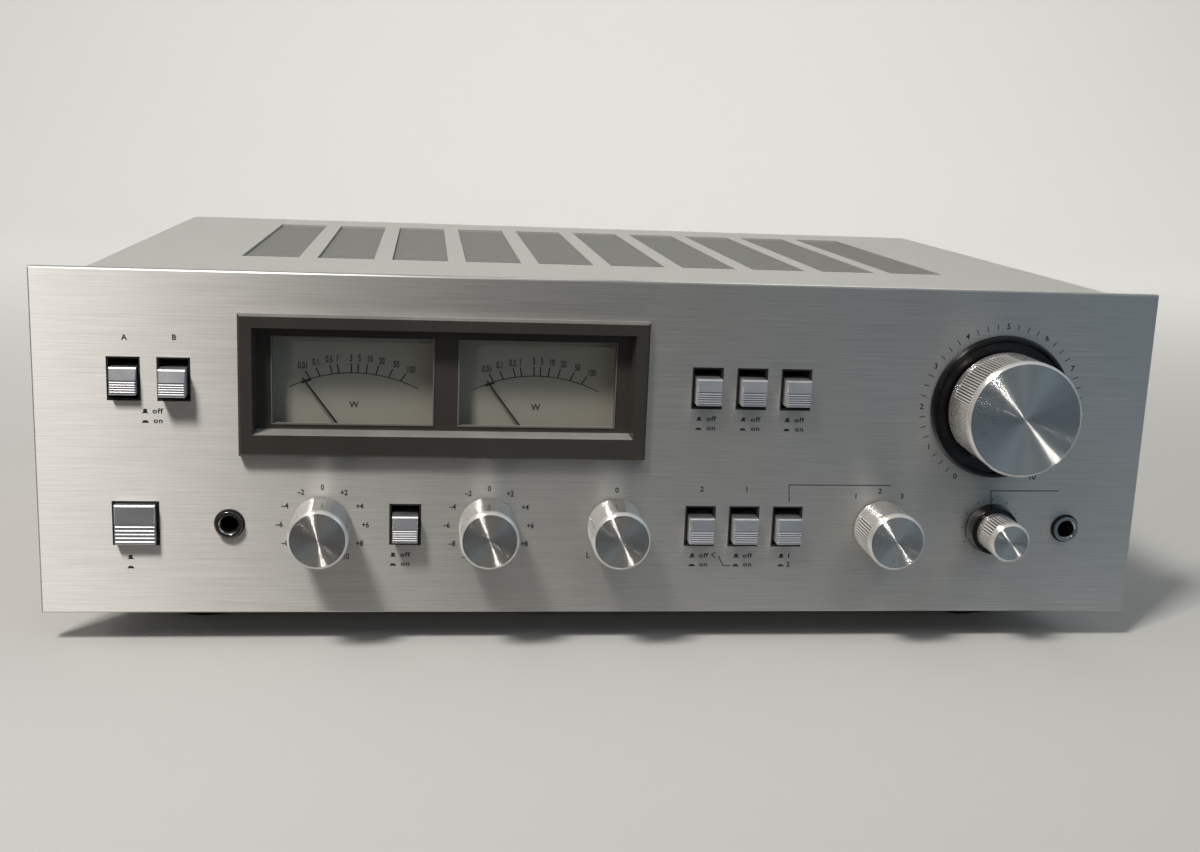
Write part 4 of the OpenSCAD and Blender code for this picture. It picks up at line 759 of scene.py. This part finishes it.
# Panel print, in panel millimetres
offOn = ("off", "on")
panelSet = {
    "lift": 0.03, "sunk": 0.02, "ink": (0.014, 0.014, 0.015), "line": 0.35,
    "number": 2.3, "numberRing": 32.1, "tickRing": 31.8, "tick": 2.3, "tickWide": 0.34, "tickStep": 7.5,
    "toneAcross": 16.0, "toneUp": 14.5, "toneShift": 0.4, "toneNumber": 2.2, "toneNarrow": 0.85,
    "micRing": 11.7, "micTick": 0.9, "micTickWide": 0.3,
    "word": 1.9, "wordWide": 1.15, "signDrop": 3.9,
    # signs: x and z of the upper one, how far its words stand beside it, and the words
    "leftSigns": ((-173.0, 77.6, 4.5, offOn), (-179.7, 21.9, 0.0, ("", ""))),
    "lowSigns": ((32.8, 23.1, 4.6, offOn), (50.3, 23.1, 4.6, offOn), (-82.9, 23.1, 4.6, offOn),
                 (68.4, 23.1, 3.0, ("1", "2"))),
    # the filter buttons' signs stand this far beside the middle of their buttons
    "filters": ("subsonic_button", "high_cut_button", "loudness_button"), "filterSign": (-2.65, 77.7, 4.85, offOn),
    "letter": 2.1,
    "letters": (("A", -179.7, 104.8), ("B", -162.1, 105.1), ("2", 35.3, 50.0), ("1", 53.0, 50.1),
                ("0", 2.1, 49.3), ("L", -8.1, 23.2), ("R", 12.1, 23.2),
                ("1", 96.8, 47.7), ("2", 106.4, 49.8), ("3", 115.5, 47.8)),
    "routes": (((70.1, 45.4), (69.6, 51.9), (110.3, 52.0)), ((41.9, 24.4), (40.5, 23.4), (41.9, 22.4)),
               ((43.3, 22.8), (45.3, 19.1), (48.1, 19.1)), ((152.3, 45.2), (151.8, 50.2), (179.7, 50.4))),
}
panelInk = printingInk("panelInk", panelSet["ink"])
raisedSign = np.array([(-1.3, -0.8), (1.3, -0.8), (0.68, -0.35), (0.68, 0.8), (-0.68, 0.8), (-0.68, -0.35)])
levelSign = np.array([(-1.3, -0.5), (1.3, -0.5), (0.7, 0.45), (-0.7, 0.45)])
# eleven marks over 300 degrees
scaleTurns = -150 + 30 * np.arange(11)


def volumeScale(s):
    # numbers 0 to 10 with three ticks between neighbours
    x, _, z = nodeCentre("volume_ring")
    spots = ringSpots(x, z, s["numberRing"], scaleTurns)
    parts = [flatWords(str(i), *spot, s["number"]) for i, spot in enumerate(spots)]
    turns = (scaleTurns[:-1, None] + s["tickStep"] * np.arange(1, 4)).ravel()
    return parts + [flatBars(ringSpots(x, z, s["tickRing"], turns), s["tick"], s["tickWide"], turns)]


def toneScale(node, s):
    # -10 to +10 in steps of two round a tone knob, on a ring a little wider than high
    x, _, z = nodeCentre(node)
    labels = [f"\u2013{-n}" if n < 0 else f"+{n}" if n else "0" for n in range(-10, 11, 2)]
    turns = np.radians(scaleTurns)
    spots = np.stack([x + s["toneShift"] + s["toneAcross"] * np.sin(turns), z + s["toneUp"] * np.cos(turns)], -1)
    return [flatWords(label, *spot, s["toneNumber"], s["toneNarrow"]) for label, spot in zip(labels, spots)]


def keySigns(x, z, beside, words, s):
    # a raised and a level key sign, each with its word beside it
    parts = []
    for i, (sign, word) in enumerate(zip((raisedSign, levelSign), words)):
        height = z - i * s["signDrop"]
        parts.append((sign + (x, height), [list(range(len(sign)))]))
        if word:
            middle = height + sign[:, 1].min() + s["word"] / 2
            parts.append(flatWords(word, x + beside, middle, s["word"], s["wordWide"]))
    return parts


def panelPrint(s):
    # scales, key signs, single letters, the microphone's ticks and lines, all as flat parts
    parts = volumeScale(s) + toneScale("bass_knob", s) + toneScale("treble_knob", s)
    aside, *rest = s["filterSign"]
    filterSigns = [(nodeCentre(button)[0] + aside, *rest) for button in s["filters"]]
    for sign in (*s["leftSigns"], *filterSigns, *s["lowSigns"]):
        parts += keySigns(*sign, s)
    parts += [flatWords(*letter, s["letter"]) for letter in s["letters"]]
    x, _, z = nodeCentre("mic_skirt")
    ticks = ringSpots(x, z, s["micRing"], scaleTurns)
    parts.append(flatBars(ticks, s["micTick"], s["micTickWide"], scaleTurns))
    return parts + [flatRoute(route, s["line"]) for route in s["routes"]]


printPiece("panelPrint", panelPrint(panelSet), -panelSet["lift"], panelSet["sunk"], panelInk)
print("panel printed")


# Dial print: heights in panel millimetres, and what lies across from the middle of a meter
dialSet = {
    "lift": 0.03, "sunk": 0.02, "ink": (0.02, 0.02, 0.02),
    "arc": 53.0, "arcZ": 38.2, "arcHalf": 24.0, "arcWide": 0.34, "arcSteps": 60,
    "dash": (-19.5, -16.1), "dashDrop": 0.3, "dashWide": 0.9, "dashSteps": 8,
    "tickFrom": 62.6, "tick": 3.6, "tickWide": 0.45,
    "turns": (-32, -25, -16, -11.2, -1.9, 2.8, 8.9, 16.2, 25.5, 34), "labelRing": 58.8,
    "labels": ("0.01", "0.1", "0.5", "1", "3", "5", "10", "20", "50", "100"),
    "labelX": (-19.1, -14.3, -9.3, -6.2, -1.1, 2.0, 6.0, 10.3, 15.7, 21.4), "height": 2.6, "narrow": 0.62,
    "unit": "W", "unitZ": 79.1, "unitHeight": 2.4,
}


def arcSpots(x, across, radius, s):
    # points across a circle of this radius about the scale's middle, which is below the window
    across = np.asarray(across, float)
    return np.stack([x + across, s["arcZ"] + np.sqrt(radius ** 2 - across ** 2)], -1)


def dialPrint(s):
    # for each meter an arc, a thick dash on it, ticks, their numbers and the unit
    across = np.linspace(-s["arcHalf"], s["arcHalf"], s["arcSteps"])
    dash = np.linspace(*s["dash"], s["dashSteps"])
    turns = np.radians(s["turns"])
    along, lean = np.stack([np.sin(turns), np.cos(turns)], -1), np.tan(turns)
    # rise: where each tick's line from (0, tickFrom) meets the arc
    a, b = 1 + lean ** 2, s["tickFrom"] - s["arcZ"]
    rise = (-b + np.sqrt(b ** 2 - a * (b ** 2 - s["arc"] ** 2))) / a
    parts = []
    for x in meterPlaces():
        parts.append(flatStrip(arcSpots(x, across, s["arc"], s), s["arcWide"]))
        parts.append(flatStrip(arcSpots(x, dash, s["arc"], s) - (0, s["dashDrop"]), s["dashWide"]))
        tips = np.stack([x + rise * lean, s["tickFrom"] + rise], -1)
        parts.append(flatBars(tips + along * s["tick"] / 2, s["tick"], s["tickWide"], s["turns"]))
        for label, spot in zip(s["labels"], arcSpots(x, s["labelX"], s["labelRing"], s)):
            parts.append(flatWords(label, *spot, s["height"], s["narrow"]))
        parts.append(flatWords(s["unit"], x, s["unitZ"], s["unitHeight"]))
    return parts


dialFace = nodeEdges("dial_plates")[0][1]
printPiece("dialPrint", dialPrint(dialSet), dialFace - dialSet["lift"], dialFace + dialSet["sunk"],
           printingInk("dialInk", dialSet["ink"]))
print("dials printed")


# Finishes on the CAD nodes
coverPaint = satinPaint("coverPaint", (0.53, 0.52, 0.49), roughness=0.40, metallic=0.3)
platedSteel = satinMetal("platedSteel", (0.58, 0.57, 0.54), roughness=0.38)
blackPlastic = mouldedPlastic("blackPlastic", (0.02, 0.02, 0.02), roughness=0.5, texture=0.1)
paint(["front_panel"], brushedAluminium("brushedPanel", (0.70, 0.69, 0.67), brushSet))
paint(["top_cover", "side_plates"], coverPaint)
paint(["vent_grille"], satinPaint("grillePaint", (0.32, 0.315, 0.295), roughness=0.6))
paint(["front_subchassis", "panel_posts", "chassis_base", "foot_screws", "power_transistors"], platedSteel)
paint(["rear_panel", "cover_screws"], satinPaint("rearPaint", (0.05, 0.05, 0.05), roughness=0.5))
paint(["cord_gland"], footRubber)
paint(["meter_bezel"], bezelPlastic)
paint(["meter_bodies", "button_guides", "power_switch", "phones_jack", "mic_jack", "speaker_terminals",
       "meter_needle_left", "meter_needle_right"], blackPlastic)
paint(["meter_covers"], clearWindow("meterWindow", windowSet))
paint(["dial_plates"], satinPaint("dialPaint", (0.48, 0.435, 0.365), roughness=0.7))
paint(["meter_lamps"], mouldedPlastic("lampPlastic", (0.8, 0.75, 0.6), roughness=0.3))
paint([n for n in nodes if n.endswith("_shaft")], satinMetal("shaftSteel", (0.6, 0.6, 0.6), roughness=0.3))
paint(["input_jacks"], satinMetal("brightPlate", (0.80, 0.79, 0.76), roughness=0.14))
paint(["control_pots"], satinMetal("potSteel", (0.6, 0.6, 0.58), roughness=0.35))
paint(["push_switches", "selector_switch"], mouldedPlastic("phenolic", (0.25, 0.17, 0.09), roughness=0.55))
paint(["power_transformer"], satinPaint("coreVarnish", (0.14, 0.12, 0.1), roughness=0.4))
paint(["filter_capacitors"], mouldedPlastic("capacitorSleeve", (0.05, 0.1, 0.2), roughness=0.3))
paint(["heatsink"], satinMetal("blackAnodised", (0.04, 0.04, 0.04), roughness=0.45, metallic=0.6))
paint(["amp_board", "control_board"], mouldedPlastic("boardLaminate", (0.09, 0.18, 0.07), roughness=0.45))
paint(["ground_post"], satinMetal("brassPost", (0.75, 0.58, 0.28), roughness=0.25))
print("finishes set")


# Pale floor that hangs over in front and curves up into a backdrop
stageSet = {"half": 5.0, "front": -0.135, "roll": 0.20, "drop": -1.2, "back": 1.6, "bend": 1.2, "top": 5.0,
            "steps": 24, "smooth": 60, "colour": (0.60, 0.59, 0.57), "grain": 120.0, "tone": 0.985, "roughness": 0.8}
# A ceiling lamp on the left, a weak lamp far out on the left and one that lights the backdrop
lightSet = {
    "key": {"place": (-0.71, -0.91, 1.55), "aim": (0.0, -0.12, 0.07), "size": (0.33, 0.33),
            "power": 25.0, "colour": (1.0, 0.97, 0.92)},
    "side": {"place": (-2.0, -2.25, 0.85), "aim": (0.0, -0.12, 0.07), "size": (0.2, 0.2),
             "power": 5.0, "colour": (0.95, 0.97, 1.0)},
    "wall": {"place": (0.4, 1.0, 1.5), "aim": (0.4, 2.6, 0.4), "size": (4.0, 0.8),
             "power": 47.0, "colour": (1.0, 0.99, 0.96)},
}
roomSet = {
    "ceilingLeft": (0.40, 0.385, 0.36), "ceilingRight": (0.21, 0.25, 0.28),
    "frontLeft": (0.044, 0.038, 0.031), "frontRight": (0.14, 0.20, 0.25),
    "bandTop": (0.42, 0.82), "turn": (0.10, 0.40), "strength": 1.0,
    "window": {"way": (0.72, -0.42, 0.56), "span": (0.96, 0.98), "colour": (0.58, 0.80, 0.98)},
    "fitting": {"way": (0.27, -0.60, 0.75), "span": (0.985, 0.993), "colour": (1.2, 1.13, 1.0)},
}


def makeStage(s):
    # one line in (y, z) drawn out along x: a drop, a quarter turn to the floor and a quarter turn up
    turn = np.linspace(0, np.pi / 2, s["steps"])
    lead = np.stack([s["front"] - s["roll"] * np.sin(turn), s["roll"] * (np.cos(turn) - 1)], -1)[::-1]
    rise = np.stack([s["back"] + s["bend"] * np.sin(turn), s["bend"] * (1 - np.cos(turn))], -1)
    line = np.vstack([[(s["front"] - s["roll"], s["drop"])], lead, rise, [(s["back"] + s["bend"], s["top"])]])
    sides = [np.column_stack([np.full(len(line), x), line]) for x in (-s["half"], s["half"])]
    f = Finish("floorPaint")
    tone = f.blend(f.evenNoise(s["grain"]), shade(s["colour"], s["tone"]), s["colour"])
    finish = f.set(colour=tone, roughness=s["roughness"])
    points = np.stack(sides, 1).reshape(-1, 3)
    addPiece("floor", points, gridFaces(len(line), 2, False), finish, s["smooth"])


def makeLights(lamps):
    # rectangular lamps, each turned to its aim
    for name, s in lamps.items():
        data = bpy.data.lights.new(name, "AREA")
        data.shape, data.energy, data.color = "RECTANGLE", s["power"], s["colour"]
        data.size, data.size_y = s["size"]
        lamp = bpy.data.objects.new(name, data)
        lamp.location = s["place"]
        lamp.rotation_euler = (Vector(s["aim"]) - Vector(s["place"])).to_track_quat("-Z", "Y").to_euler()
        bpy.context.scene.collection.objects.link(lamp)


def makeRoom(s):
    # light from a room: bright above, darker ahead, warm on the left and cool on the right, with two bright patches
    world = bpy.data.worlds.new("room")
    bpy.context.scene.world = world
    world.use_nodes = True
    sky = Sheet(world.node_tree)
    way = sky.node("ShaderNodeTexCoord", out="Generated")
    side = sky.span(sky.split(way, "X"), *s["turn"], 0, 1)
    rise = sky.span(sky.split(way, "Z"), *s["bandTop"], 0, 1)
    front = sky.blend(side, s["frontLeft"], s["frontRight"])
    ceiling = sky.blend(side, s["ceilingLeft"], s["ceilingRight"])
    colour = sky.blend(rise, front, ceiling)
    for patch in (s["window"], s["fitting"]):
        near = sky.vector("DOT_PRODUCT", way, tuple(Vector(patch["way"]).normalized()), out="Value")
        colour = sky.blend(sky.span(near, *patch["span"], 0, 1), colour, patch["colour"])
    light = sky.node("ShaderNodeBackground", values={"Color": colour, "Strength": s["strength"]})
    sky.fill(world.node_tree.nodes.new("ShaderNodeOutputWorld").inputs[0], light)


makeStage(stageSet)
makeLights(lightSet)
makeRoom(roomSet)
bpy.context.scene.view_settings.view_transform = "Standard"
print("floor and light set")
